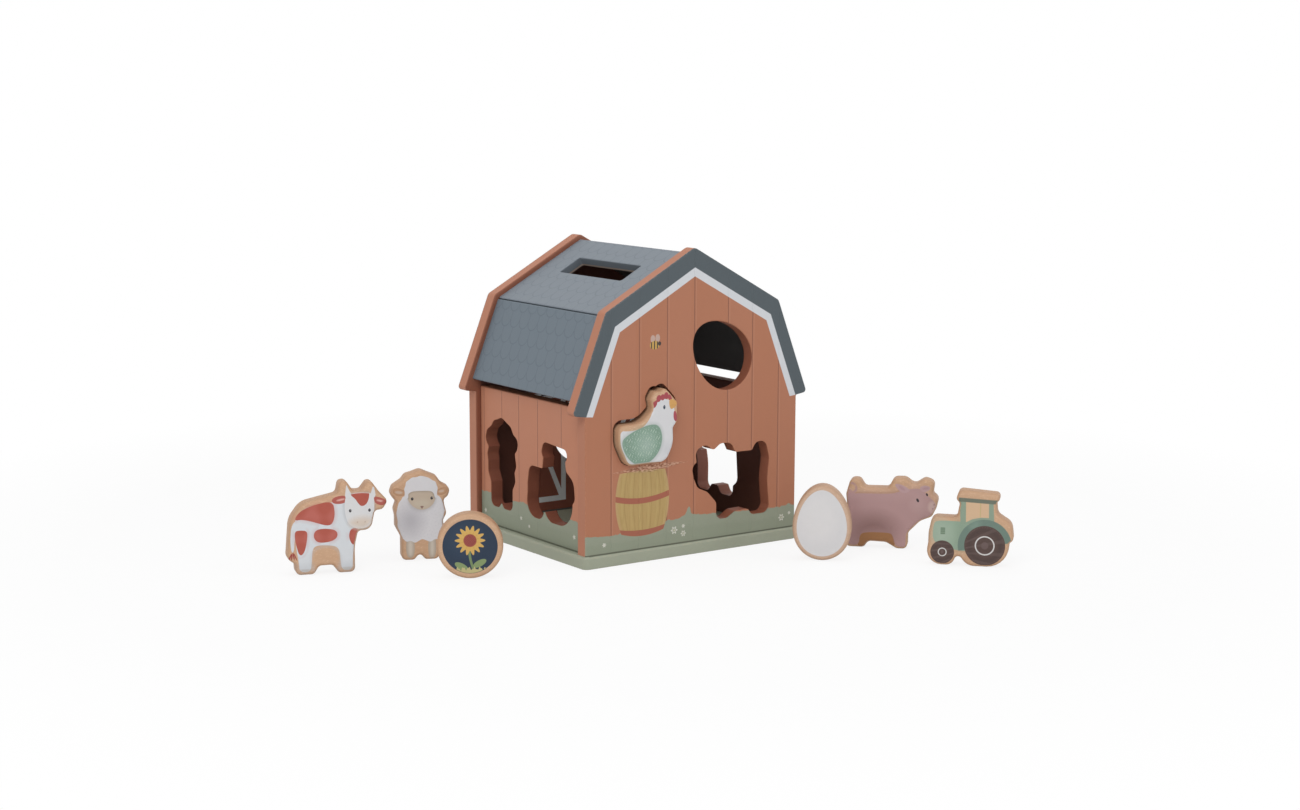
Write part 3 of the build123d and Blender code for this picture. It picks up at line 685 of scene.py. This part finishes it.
cow_body = cow.area([(-17.9, 28), (-17.8, 34.4), (-15.6, 38.2), (-11.4, 41), (-5.5, 42.8), (4.7, 43.7),
    (13, 43.6), (18, 38), (18.6, 28), (17.4, 17), (16.6, 8), (16.3, 1.6), (9.8, 1.8), (9, 8), (8.6, 14.6),
    (5.4, 17.3), (-5.2, 18), (-7.8, 15.6), (-8.3, 7.5), (-9, 2), (-15.6, 2), (-16.1, 8), (-17.2, 15),
    (-17.8, 22)])
cow_head = cow.area([(13, 47.8), (12, 41), (12.4, 35.4), (14, 30.2), (17.6, 27.2), (22.3, 26.3), (26.8, 27.4),
    (29.3, 31.4), (30.1, 36.5), (30.3, 42), (29.6, 47.8), (22, 48.8)])
cow_horns = cow.area([(12.4, 45.8), (12.9, 50.5), (13.6, 54.4), (14.5, 51.4), (17, 47), (15, 45)],
    [(27.6, 46.6), (28.7, 49.6), (29.9, 53.6), (30.6, 50), (31.2, 46), (29.5, 44.8)])
cow_tail = cow.area([(-17.4, 34.2), (-20.2, 30), (-20.9, 22), (-20.4, 14.4), (-18.9, 14.4), (-18.2, 22),
    (-17.6, 29)])
x, z = cow.flat.T
inset = cow.rim + 1
cow.lay("body", print_white, within(inset, joined(cow_body, cow_tail)), raised=0.04)
cow.lay("low_shade", (172, 176, 180), within(cow_body, z - 5), soft=7, strength=0.5)
cow.lay("leg_shade", soft_grey, np.abs(cow.area([(-8.6, 0), (-8.6, 17), (8.8, 17), (9.6, 0)])) - 0.4,
    soft=2.4, strength=0.45)
cow_patches = cow.area([(-17.9, 33.6), (-17.2, 36.4), (-13.8, 39.8), (-6.2, 42.8), (5, 44.6), (6.4, 37),
    (5, 30.8), (1.6, 29.2), (-7.9, 32.7), (-14, 34.2)], [(-18.6, 27.2), (-14.8, 27.7), (-10.4, 27),
    (-10.8, 21.5), (-12.4, 13.9), (-15.4, 11.6), (-17.4, 18)], [(-5.6, 27.4), (-0.5, 28), (6, 27), (8, 24.2),
    (6.4, 20.8), (0.8, 19.2), (-5, 19.6), (-7.2, 23.5)], [(15.6, 27), (20, 27.6), (19.4, 24.2), (17.7, 16),
    (15.3, 18.6), (14.3, 22.9)])
patches = within(inset + 0.2, cow_patches)
cow.lay("patch", patch_red, patches, raised=0.03)
clouds = np.sin(x * 0.42 + 1.6) * 3 + np.sin(z * 0.5) * 2
cow.lay("patch_light", (190, 110, 100), within(patches, clouds), soft=5, strength=0.55)
cow.lay("head_shade", (150, 150, 154), within(cow_head - 0.6, inset), soft=2.6, strength=0.5)
cow_ears = cow.area([(4.2, 45.2), (7, 47.1), (13.2, 47.6), (13.6, 43.4), (9.6, 42.2), (5.2, 42.8)],
    [(29.8, 46.1), (33.8, 45.1), (38.1, 43), (36.8, 40.2), (33.4, 40.2), (30.3, 42)])
cow_inner_ears = cow.area(oval((9.8, 44.9), (2.5, 0.5), 10), oval((33.8, 42.9), (2.3, 0.5), -16))
cow.lay("ears", (172, 92, 82), cow_ears)
cow.lay("inner_ears", (222, 176, 166), cow_inner_ears, soft=0.8)
cow.lay("head", (213, 213, 214), within(inset, joined(cow_head, cow_horns)), raised=0.04)
cow.lay("forehead", patch_red, within(cow_head + 0.2, cow.area([(15.8, 49.6), (27.4, 49.6), (27, 44.7),
    (25.4, 41.2), (22.4, 40), (20.3, 42.2), (18.7, 45), (15.8, 47.4)])))
cow.lay("muzzle", (208, 190, 172), within(cow_head + 0.3, cow.area([(14.6, 31.2), (18, 33), (22.5, 33.6),
    (27.6, 33), (30.2, 30.8), (27.4, 25.8), (21.9, 24.6), (16, 26.4)])), soft=4.5, strength=0.8)
cow.lay("nostrils", (150, 116, 100), cow.area(oval((19.8, 30.6), (0.45, 0.6), 20),
    oval((24.4, 30.6), (0.45, 0.6), -20)), soft=0.3, strength=0.35)
lower_half = np.where(z < 29.2, 0, 5)
cow.lay("mouth", (158, 128, 112), np.abs(cow.area(oval((22.1, 30), (2.6, 1.7)))) - 0.12 + lower_half,
    soft=0.3, strength=0.35)
cow.eyes((62, 58, 62), ((15.5, 37.9), (27.2, 37.6)), (0.8, 1.05), (0.22, 0.25), (226, 226, 228))
cow.lay("tuft", (150, 64, 58), cow.area(*[oval((-19.6 + step * 1.1, 12 - abs(step) * 0.35), (0.38, 2.6),
    15 * step) for step in (-1.5, -0.5, 0.5, 1.5)]), soft=0.25)
cow.lay("hooves", (168, 160, 150), within(inset, cow_body, z - 3.6), soft=0.8, strength=0.5)
cow.done()

# Sheep block
# Sawn and printed as the cow is: a white fleece over a beige face and legs, seen from the front.

sheep_line = rounded_line([(-11, 0, 3), (-3.2, 0, 2.4), (0.3, 4, 2), (3.8, 0, 2.4), (12.4, 0, 3),
    (12.6, 13, 2.4), (16, 18.5, 4), (14.9, 24.2, 3.2), (17.2, 28.6, 3.8), (15.9, 33.8, 3.4),
    (15.4, 37.4, 2.3), (18, 39.2, 3), (19.8, 44.4, 3.4), (14.2, 47.4, 3.2), (11.2, 51.8, 4), (6, 54, 4),
    (1.1, 56.2, 4.2), (-3.8, 54.4, 4), (-7.9, 53.4, 3.8), (-10.5, 50, 3), (-16.1, 46.4, 3.2),
    (-17.8, 41.6, 3.4), (-13.8, 36.6, 2.4), (-15.5, 31.8, 3.8), (-14.6, 27.3, 3.2), (-14.6, 21, 4),
    (-11, 14.1, 2.8)])
sheep = Block("sheep_block", "sheep", sheep_line, (-148.3, 17.6), -22)
x, z = sheep.flat.T
inset = sheep.rim + 0.7
legs = sheep.area([(-8.4, 15), (-8.4, 1.7), (-3, 1.5), (-3, 15)], [(5.4, 15), (5.2, 0.9), (10.2, 0.8),
    (10.4, 15)])
sheep.lay("legs", (178, 164, 148), within(inset, legs), soft=0.4)
sheep.lay("leg_light", (206, 198, 186), within(inset, legs + 1.3), soft=1.8, strength=0.8)
fleece = sheep.area([(-9.9, 41), (-10.6, 38.6), (-12.6, 36.6), (-13.4, 33), (-14.2, 29.5), (-13.2, 25.6),
    (-13.6, 21.4), (-11.6, 18), (-11.6, 14.8), (-9.6, 13.4), (-8, 11.6), (-5.4, 12.6), (-3, 10.8), (-0.6, 12),
    (1.6, 13.4), (4.2, 12.2), (7, 11), (9.2, 12.8), (11.8, 12.6), (12.6, 15.6), (14.9, 18), (13.9, 21.6),
    (15.6, 25), (14.9, 28), (16.4, 31), (14.8, 35.5), (13.4, 39), (10.6, 41)])
cap = sheep.area([(-6.4, 39), (-6.8, 41.8), (-4.6, 43.2), (-1, 43.5), (3, 43.4), (7.4, 43.2), (9.2, 41.8),
    (9.8, 38.8), (11.2, 38.6), (11.2, 42.4), (11.8, 44.8), (10.8, 47.4), (10.4, 49), (8.4, 49.8), (6.4, 51.4),
    (3.6, 52.4), (0.8, 53), (-1.4, 52), (-4, 52.2), (-6, 50.6), (-8, 49.4), (-8.2, 46.9), (-9.2, 44.8),
    (-8.6, 42.6), (-9.2, 38.8)])
wool = (214, 213, 216)
sheep.lay("fleece", wool, within(inset, fleece), raised=0.06)
curls = np.cos(x * 1.35 + 1.2 * np.sin(z * 0.9)) * np.cos(z * 1.35 + 1.2 * np.sin(x * 0.8))
sheep.lay("curls", (190, 190, 196), within(joined(fleece, cap) + 1, np.abs(curls) * 2 - 0.22), soft=0.5,
    strength=0.3)
sheep.lay("fleece_shade", (176, 174, 180), within(fleece, np.hypot((x + 5) * 0.9, (z - 25) * 0.7) - 6),
    soft=9, strength=0.75)
sheep.lay("face_shade", (164, 160, 160), within(inset, sheep.area(oval((1.8, 37.8), (8.8, 7.2)))), soft=2.2,
    strength=0.5)
face_line = sheep.area([(-7, 43.6), (-7, 38.5), (-5.6, 35.6), (-2.4, 32.6), (1.8, 31.3), (6, 32.4),
    (9.2, 35.4), (10.3, 38.8), (10.3, 43.6)])
ears = sheep.area([(-8, 41.4), (-11.8, 40.4), (-15.4, 41.8), (-16.4, 44.4), (-14.2, 46.2), (-10.2, 44.6),
    (-7.6, 43.6)], [(11, 41.2), (13.4, 40.2), (16.6, 41.2), (17.9, 43.6), (16.4, 45.6), (12.8, 44.6),
    (11, 43.4)])
sheep.lay("ears", (186, 146, 114), within(inset - 0.2, ears), soft=0.3)
sheep.lay("ear_line", (158, 122, 98), within(inset - 0.2, np.abs(ears + 0.3) - 0.25), soft=0.5, strength=0.5)
sheep.lay("inner_ears", (202, 182, 164), sheep.area(oval((-12.4, 43), (2.4, 0.9), -8),
    oval((14, 42.8), (1.9, 0.8), 10)), soft=0.7, strength=0.8)
sheep.lay("face", (190, 174, 156), face_line, soft=0.25, raised=0.04)
sheep.lay("face_light", (200, 190, 172), sheep.area(oval((1.6, 35.6), (5, 2.6))), soft=3, strength=0.6)
sheep.lay("cap_shade", (140, 132, 124), within(face_line, cap - 0.6), soft=1.4, strength=0.6)
sheep.lay("cap", wool, within(inset, cap), raised=0.06)
sheep.eyes((62, 58, 60), ((-4.2, 38.6), (7.9, 38.7)), (0.85, 1), (0.22, 0.24))
sheep.lay("nose", (140, 112, 102), sheep.area([(0.4, 34), (3.2, 34), (2.2, 32.7), (1.8, 31.9), (1.4, 32.7)]),
    soft=0.3)
sheep.done()

# Round block
# A disc turned from the same board. Its navy print leaves a bare rim and carries a sunflower.

disc = Block("round_block", "disc", oval((0, 19.75), (19.75, 19.75)), (-147.3, -43.6), -31)
x, z = disc.flat.T - np.array([[0], [19.75]])
ground = np.hypot(x, z) - 16.4
disc.lay("ground", (38, 53, 72), ground, raised=0.03)
disc.lay("ground_light", (50, 67, 88), within(ground, np.hypot(x + 3, z - 4) - 9), soft=8, strength=0.5)
stalk = within(np.abs(x - 0.05 * z * z / 4 + 0.6) - 0.75, z + 1, -z - 15.4)
disc.lay("stalk", (116, 134, 92), within(stalk, ground + 0.5), soft=0.25)
leaf = disc.area(oval((-5.2, 7.6), (4.4, 1.9), -28), oval((5.6, 9.4), (4.4, 1.9), 28))
disc.lay("leaves", (128, 146, 100), leaf, soft=0.25)
flower_away, flower_angle = np.hypot(x, z - 3.6), np.arctan2(z - 3.6, x)
petals = flower_away - (7.6 + 1.5 * np.cos(14 * flower_angle))
disc.lay("petals", (206, 166, 92), petals, soft=0.3, raised=0.03)
disc.lay("petal_lines", (186, 134, 68), within(petals + 0.5,
    np.abs(np.sin(7 * flower_angle + pi / 2)) * flower_away * 0.14 - 0.14), soft=0.25, strength=0.7)
disc.lay("seeds", (150, 74, 66), flower_away - 3.9, soft=0.25, raised=0.03)
disc.lay("seed_dots", (110, 52, 50), within(flower_away - 3.3,
    np.abs(np.sin(2.2 * x + 2.2 * z) * np.sin(2.2 * x - 2.2 * z)) - 0.25), soft=0.3, strength=0.7)
disc.lay("straw", (186, 176, 126), within(ground + 0.2,
    z + 13.4 + 0.8 * np.sin(x * 1.9) + 0.5 * np.sin(x * 4.3)), soft=0.3)
disc.done()

# Egg block
# An egg sawn from the same board, white inside a bare rim.

egg = Block("egg_block", "egg", oval((0, 23.5), (18, 23.5), 0, 0.125), (57.4, -124.4), -43)
x, z = egg.flat.T
shell = egg.rim + 2.7
egg.lay("shell", (215, 213, 213), shell, soft=0.2, raised=0.05)
egg.lay("shell_shade", (198, 198, 202), within(shell, 12 - np.hypot(x + 2, (z - 26) * 0.8)), soft=9,
    strength=0.35)
egg.done()

# Pig block
# A pig in profile, sawn from the same board and printed a dusty pink that deepens towards the belly.

pig_line = rounded_line([(-19, 0, 2.8), (-9, 0, 3), (-6.2, 4.1, 3.6), (4.9, 3.8, 6), (11.6, 0, 4),
    (18.3, 0, 3), (18.3, 10.2, 6), (26.1, 18.4, 10), (33.4, 21.4, 4), (36.1, 27.2, 3.2), (37.4, 33.5, 3.6),
    (33.7, 35.9, 2.4), (34.8, 43.4, 3.6), (28.5, 45.6, 3.8), (22.1, 41.2, 4), (16.4, 45.4, 4.6),
    (9.1, 45.2, 4), (6, 38.8, 3), (-9, 38.6, 3), (-12.2, 43.8, 3.2), (-18, 44, 3.8), (-20.8, 34, 5),
    (-19.2, 20, 40), (-21, 2.6, 3.6)])
pig = Block("pig_block", "pig", pig_line, (110.2, -117.1), -46.5)
x, z = pig.flat.T
inset = pig.rim + 0.9
pig_body = pig.area([(-19.8, 35.4), (-16.8, 34.6), (-10.4, 34.9), (8, 35.2), (13, 37), (20, 39), (26.2, 39.4),
    (29, 37), (31.4, 34.2), (34.8, 31.6), (35.9, 28), (34.9, 24.4), (28.6, 19.6), (22.4, 14.4), (18.4, 10),
    (18.6, 1.2), (10.6, 1.4), (9, 9), (6, 10), (-8.6, 9.8), (-11.4, 7.6), (-11.6, 1.4), (-20.2, 1.4),
    (-18.6, 14), (-19.4, 26)])
on_pig = within(inset, pig_body)
pig.lay("body", (178, 144, 143), on_pig, soft=0.2, raised=0.04)
pig.lay("belly_shade", (124, 92, 88), within(on_pig, np.hypot((x + 3) / 1.4, z - 12) - 8), soft=14,
    strength=0.9)
pig.lay("back_line", (156, 114, 78), within(-on_pig, on_pig - 1, np.abs(x + 1) - 14) + np.where(z > 30, 0, 9),
    soft=0.8, strength=0.5)
pig.lay("back_light", (186, 153, 152), within(on_pig, -(z - 33) + np.abs(x) * 0.05), soft=9, strength=0.6)
pig.lay("hip_shade", (150, 114, 112), within(on_pig, np.hypot((x + 17) * 1.4, z - 24) - 6), soft=12,
    strength=0.4)
# painted shade: the bare wood between the legs, darker under the belly
pig.lay("crotch_shade", (152, 108, 70), within(inset, -pig_body - 0.3, z - 11, np.abs(x + 1) - 11.6), soft=0.4)
pig.lay("cheek", (194, 163, 161), within(on_pig, np.hypot(x - 25, z - 29) - 4), soft=7, strength=0.5)
pig_ears = pig.area([(9.6, 41.8), (13, 41.9), (17.2, 40), (20.2, 37.6), (15.4, 35.6), (11.4, 38.6)],
    [(25, 39.6), (27.8, 41.6), (31.4, 41.2), (32.4, 39.6), (30.2, 37.6), (27.2, 37)])
pig.lay("ears", (186, 154, 156), within(inset, pig_ears), soft=0.3)
pig.lay("inner_ears", (166, 132, 136), pig.area(oval((14.4, 39.2), (2.4, 0.9), -35),
    oval((29.2, 39.6), (2, 0.8), 10)), soft=0.9, strength=0.5)
curl = pig.area(oval((-16.9, 38.2), (2.6, 3), 20))
pig.lay("tail", (178, 142, 142), within(inset, joined(np.abs(curl) - 0.7,
    pig.area(oval((-18.2, 35), (1, 2.2), -20)))), soft=0.6, strength=0.85)
pig.lay("snout", (200, 172, 166), within(inset, pig.area(oval((33.6, 27.6), (2.6, 3.8), 8))), soft=1.6,
    strength=0.85)
pig.lay("nostril", (128, 92, 92), pig.area(oval((34.7, 29.4), (0.4, 0.7)), oval((33.9, 26.8), (0.35, 0.6))),
    soft=0.3, strength=0.6)
pig.lay("eyes", (58, 50, 56), pig.area(oval((24.4, 31.8), (0.75, 1.35), 28),
    oval((30.1, 35.7), (0.6, 1.1), 24)), soft=0.2)
pig.lay("leg_line", (140, 104, 100), within(on_pig, np.abs(np.hypot(x - 22, z - 12) - 14) - 0.3, z - 14),
    soft=1.6, strength=0.3)
pig.done()

# Tractor block
# A tractor sawn from the same board, printed soft green, with dark tyres, white rings for rims and wood-coloured
# windows and roof.

tractor_line = rounded_line([(-22.1, 0, 8.7), (-5.4, 0, 5.4), (-2.2, 8, 2.3), (3.6, 0, 8.6), (28.6, 0, 13.2),
    (28.8, 14.9, 2.3), (31.4, 17.2, 3), (30.2, 27.2, 7), (21.4, 32.7, 5), (20.7, 39.8, 2.4),
    (22.7, 41.8, 2.4), (22.2, 45.4, 2.4), (-1.8, 47.1, 3), (-3.8, 41.2, 2.6), (-1.4, 38.9, 2.4),
    (-2.9, 29.9, 2.4), (-17.9, 30.1, 4), (-19.9, 20, 10), (-20, 13.4, 2.6)])
tractor = Block("tractor_block", "tractor", tractor_line, (118.85, -183.45), -47.5)
x, z = tractor.flat.T
inset = tractor.rim + 1
rear, front_wheel = np.hypot(x - 14.3, z - 13.3), np.hypot(x + 11.2, z - 8.2)
hood = tractor.area([(-17.2, 13), (-17, 25.6), (-14.6, 27.8), (-1, 27.8), (2.4, 27.2), (12, 22), (6, 9.6),
    (-2, 9.4)])
tractor.lay("hood", (145, 165, 145), within(inset, hood), soft=0.2, raised=0.04)
tractor.lay("hood_light", (164, 179, 162), within(hood, np.hypot(x + 13, z - 20) - 7), soft=8, strength=0.6)
tractor.lay("hood_shade", (124, 142, 124), within(hood, np.abs(x - 0.5) - 3), soft=6, strength=0.45)
cab = tractor.area(np.array([(-1.4, 41.2), (18.9, 40.4), (19.6, 29), (18, 26), (-0.6, 26.4)]))
tractor.lay("cab", (138, 155, 136), within(inset, cab), soft=0.2, raised=0.04)
windows = tractor.area(np.array([(2.4, 40.8), (16.2, 40.2), (16.4, 30.6), (11.4, 30.6), (6.5, 29.4),
    (2.7, 27.4)]))
tractor.lay("windows", (208, 176, 143), within(windows, inset), soft=0.25)
tractor.lay("window_bar", (184, 168, 116), within(windows, np.abs(x - 11.2) - 0.3), soft=0.3, strength=0.8)
tractor.lay("roof_shade", (108, 114, 100), within(inset - 0.4, np.abs(z - 41.2 + 0.04 * x) - 1.25,
    np.abs(x - 9.8) - 11.8), soft=0.4)
fender = within(rear - 16.2, -(z - 12.5 - 0.2 * (x - 14)), inset)
tractor.lay("fender", (108, 128, 117), fender, soft=0.3, raised=0.04)
tractor.lay("fender_light", (130, 152, 138), within(fender, np.hypot(x - 8, z - 26) - 3), soft=5,
    strength=0.6)
tyres = within(joined(rear - 12.3, front_wheel - 7.2), inset + 0.2)
tractor.lay("tyres", (84, 66, 61), tyres, soft=0.2, raised=0.05)
tractor.lay("tyre_shade", (64, 51, 49), joined(np.abs(rear - 9.4) - 1.2, np.abs(front_wheel - 5.2) - 0.7),
    soft=2.4, strength=0.5)
tractor.lay("treads", (112, 96, 92), within(tyres + 0.5, joined(within(11 - rear,
    np.abs(np.sin(22 * np.arctan2(z - 13.3, x - 14.3))) * 1.2 - 0.5), within(6.3 - front_wheel,
    np.abs(np.sin(14 * np.arctan2(z - 8.2, x + 11.2))) * 1.2 - 0.5))), soft=0.3, strength=0.3)
tractor.lay("rims", (212, 210, 208), joined(np.abs(rear - 5.6) - 0.38, np.abs(front_wheel - 2.4) - 0.3),
    soft=0.2, raised=0.03)
tractor.lay("hubs", (108, 90, 88), joined(rear - 2.2, front_wheel - 0.9), soft=0.5, strength=0.7)
grille = within(np.abs(x + 11.1) - 1.4, np.abs(z - 21.4) - 2.1)
tractor.lay("grille", (112, 132, 112), grille, soft=0.3)
tractor.lay("grille_bars", (146, 166, 144), within(grille, np.abs(np.mod(z, 1.1) - 0.55) - 0.16), soft=0.2,
    strength=0.8)
tractor.done()

# Hen block
# The hen stands in its own cut-out above the barrel, 5 mm proud of the gable. It is printed white, with a soft
# green wing of short strokes, a red comb and a yellow beak, inside a bare rim.

hen_line = rounded_line([(-15.6, 0, 6), (13.4, 0, 7), (19, 11, 16), (18.6, 21, 2.6), (21.8, 24.2, 2.8),
    (21.8, 36.4, 3.2), (17.2, 41.4, 4), (12.4, 46.2, 3.2), (8.6, 44, 3), (4.8, 44.6, 3.2), (1.6, 39.4, 3),
    (3, 33, 3.4), (-5.4, 25.6, 14), (-22, 25.4, 4.6), (-22, 13, 16)])
hen = Block("hen_block", "hen", hen_line, (-37.6, -67.25), 0, 61.5)
x, z = hen.flat.T
inset = hen.rim + 1 - 0.6 * np.clip(x / 10, 0, 1)
print_edge = hen.rim + 0.5
hen_body = hen.area([(-20.8, 22.4), (-21.6, 16), (-20.2, 8), (-15.4, 1.4), (-8, -0.4), (10.6, -0.4),
    (16.6, 6), (19, 13), (19.4, 20), (20, 26), (18.6, 33.6), (15.4, 38.6), (9, 39.6), (4.4, 36.6), (2.8, 32),
    (-0.6, 26.6), (-5, 22.8), (-11.6, 21.6), (-17, 21.8)])
hen.lay("body", (210, 210, 212), within(inset, hen_body), soft=0.2, raised=0.04)
hen.lay("breast_shade", (182, 184, 190), within(inset, hen_body, np.hypot(x - 13, z - 8) - 3), soft=9,
    strength=0.5)
comb = hen.area(oval((3.9, 36.4), (1.5, 2.7), -35), oval((7, 39.9), (1.7, 2.2), -12),
    oval((9.9, 40.4), (1.6, 1.9)), oval((12.7, 41.2), (1.7, 2.2), 6), oval((15.4, 39.8), (1.3, 2), 20))
hen.lay("comb", (162, 74, 80), within(hen.rim + 1, comb), soft=0.25, raised=0.04)
hen.lay("head", (210, 210, 212), hen.area(oval((11.3, 32.9), (5.6, 5.4)), [(6, 35), (3.8, 28), (12, 26),
    (17, 30)]), soft=0.2)
wing_line = hen.area([(-20.8, 16.2), (-15, 19.8), (-7.8, 22.6), (0.8, 24.6), (7.4, 23.6), (10.2, 16),
    (8.2, 8), (2.4, 2), (-4.6, 0), (-12.2, 1.4), (-18.2, 8)])
wing = within(inset + 0.3, wing_line)
hen.lay("wing", (134, 160, 144), wing, soft=0.3, raised=0.04)
hen.lay("wing_light", (166, 184, 174), within(wing + 1.5, np.hypot(x + 2, (z - 12) * 0.9) - 4), soft=8,
    strength=0.6)
hen.lay("wing_shade", (108, 138, 120), within(wing, 9.5 - np.hypot(x + 3, z - 13)), soft=5, strength=0.55)
feather = np.abs(np.mod(x * 0.5 + z * 0.24 + 0.5 * np.sin(z * 1.4), 1) - 0.5) * 3.4
strokes = np.abs(np.mod(z * 0.42 - x * 0.16 + 0.6 * np.floor(x * 0.5 + z * 0.24), 1) - 0.5) * 4
hen.lay("feathers", (186, 203, 188), within(wing + 0.9, feather - 0.55, strokes - 1.25), soft=0.5,
    strength=0.7)
hen.lay("beak", (204, 156, 92), within(print_edge, hen.area([(14.8, 39.2), (20, 37.8), (21.6, 35.4),
    (16.4, 31.8), (14.8, 35)])), soft=0.2, raised=0.04)
hen.lay("beak_line", (170, 124, 66), within(np.abs(z - 35.2 + 0.1 * (x - 16)) - 0.12, 16.6 - x, x - 20),
    soft=0.25, strength=0.8)
hen.lay("wattle", (164, 76, 84), within(print_edge, hen.area(oval((19.6, 28), (1.5, 3.4), 12, 0.25))),
    soft=0.25, raised=0.04)
hen.eyes((58, 70, 84), ((11.2, 34.2),), (0.85, 1.3), (0.22, 0.28))
hen.lay("tail_lines", (176, 180, 184), within(inset, hen_body,
    np.abs(np.mod(x * 0.3 + z * 0.16, 1) - 0.5) * 6 - 0.35, x + 13), soft=0.6, strength=0.4)
hen.done()

# Floor and light
# The floor is white paper that keeps a soft shadow. A large lamp to the left and above, a weaker one to the right,
# one overhead and a white room light the toy. The camera stands to the left front, a little above the roof.

reach, floor_z = 8, -0.0002
floor_mesh = bpy.data.meshes.new("floor")
floor_corners = [(x * reach, y * reach, floor_z) for x, y in ((-1, -1), (1, -1), (1, 1), (-1, 1))]
floor_mesh.from_pydata(floor_corners, [], [(0, 1, 2, 3)])
floor = bpy.data.objects.new("floor", floor_mesh)
bpy.context.scene.collection.objects.link(floor)


def seen_directly(tree):
    """1 for rays from the camera, a mirror or glass, and 0 for those that carry light between surfaces."""
    path = tree.nodes.new("ShaderNodeLightPath")
    first = Term(tree, path.outputs["Is Camera Ray"]).most(Term(tree, path.outputs["Is Glossy Ray"]))
    return first.most(Term(tree, path.outputs["Is Transmission Ray"]))


paper = bpy.data.materials.new("floor_paper")
paper.use_nodes = True
tree = paper.node_tree
tree.nodes.remove(tree.nodes["Principled BSDF"])
kinds = ("ShaderNodeBsdfDiffuse", "ShaderNodeEmission", "ShaderNodeMixShader")
diffuse, glow, mix = [tree.nodes.new(kind) for kind in kinds]
grain_noise = tree.nodes.new("ShaderNodeTexNoise")
grain_noise.inputs["Scale"].default_value = 60
coordinates = tree.nodes.new("ShaderNodeTexCoord")
tree.links.new(coordinates.outputs["Object"], grain_noise.inputs["Vector"])
paper_tone = tree.nodes.new("ShaderNodeMix")
paper_tone.data_type = "RGBA"
paper_tone.inputs[6].default_value = (0.84, 0.84, 0.84, 1)
paper_tone.inputs[7].default_value = (0.88, 0.88, 0.88, 1)
tree.links.new(grain_noise.outputs["Fac"], paper_tone.inputs["Factor"])
tree.links.new(paper_tone.outputs[2], diffuse.inputs["Color"])
spread = tree.nodes.new("ShaderNodeVectorMath")
spread.operation = "LENGTH"
tree.links.new(coordinates.outputs["Object"], spread.inputs[0])
share = (Term(tree, spread.outputs["Value"]) * 0.7 + 0.6).most(0.85).least(1)
tree.links.new((seen_directly(tree) * share).socket, mix.inputs["Fac"])
tree.links.new(diffuse.outputs["BSDF"], mix.inputs[1])
tree.links.new(glow.outputs["Emission"], mix.inputs[2])
tree.links.new(mix.outputs["Shader"], tree.nodes["Material Output"].inputs["Surface"])
floor_mesh.materials.append(paper)

world = bpy.data.worlds.new("room")
bpy.context.scene.world = world
world.use_nodes = True
tree = world.node_tree
room = tree.nodes["Background"]
room.inputs["Color"].default_value = (1, 1, 1, 1)
room.inputs["Strength"].default_value = 0.62
seen, mix = tree.nodes.new("ShaderNodeBackground"), tree.nodes.new("ShaderNodeMixShader")
seen.inputs["Color"].default_value = (1, 1, 1, 1)
tree.links.new(seen_directly(tree).socket, mix.inputs["Fac"])
tree.links.new(room.outputs["Background"], mix.inputs[1])
tree.links.new(seen.outputs["Background"], mix.inputs[2])
tree.links.new(mix.outputs["Shader"], tree.nodes["World Output"].inputs["Surface"])

for name, place, aim, size, power in (
    ("key_lamp", (-1.3, -0.9, 1.5), (0, 0, 0.08), 1.2, 13),
    ("fill_lamp", (1.1, -1.6, 0.9), (0, 0, 0.08), 1.4, 6),
    ("top_lamp", (0.1, 0.2, 2.0), (0, 0, 0.1), 1.6, 7),
):
    lamp = bpy.data.lights.new(name, "AREA")
    lamp.shape, lamp.size, lamp.energy = "DISK", size, power
    stand = bpy.data.objects.new(name, lamp)
    bpy.context.scene.collection.objects.link(stand)
    stand.location = place
    stand.rotation_euler = (Vector(aim) - Vector(place)).to_track_quat("-Z", "Y").to_euler()

lens = bpy.data.cameras.new("camera")
lens.lens, lens.sensor_width = 60.86, 36
lens.shift_x, lens.shift_y = 0.0346, 0.0147
camera = bpy.data.objects.new("camera", lens)
camera.location = (-0.8005, -1.1491, 0.3048)
looks_down, turned = 9.41, -34.17
camera.rotation_euler = (radians(90 - looks_down), 0, radians(turned))
bpy.context.scene.collection.objects.link(camera)
bpy.context.scene.camera = camera
bpy.context.scene.view_settings.view_transform = "Standard"
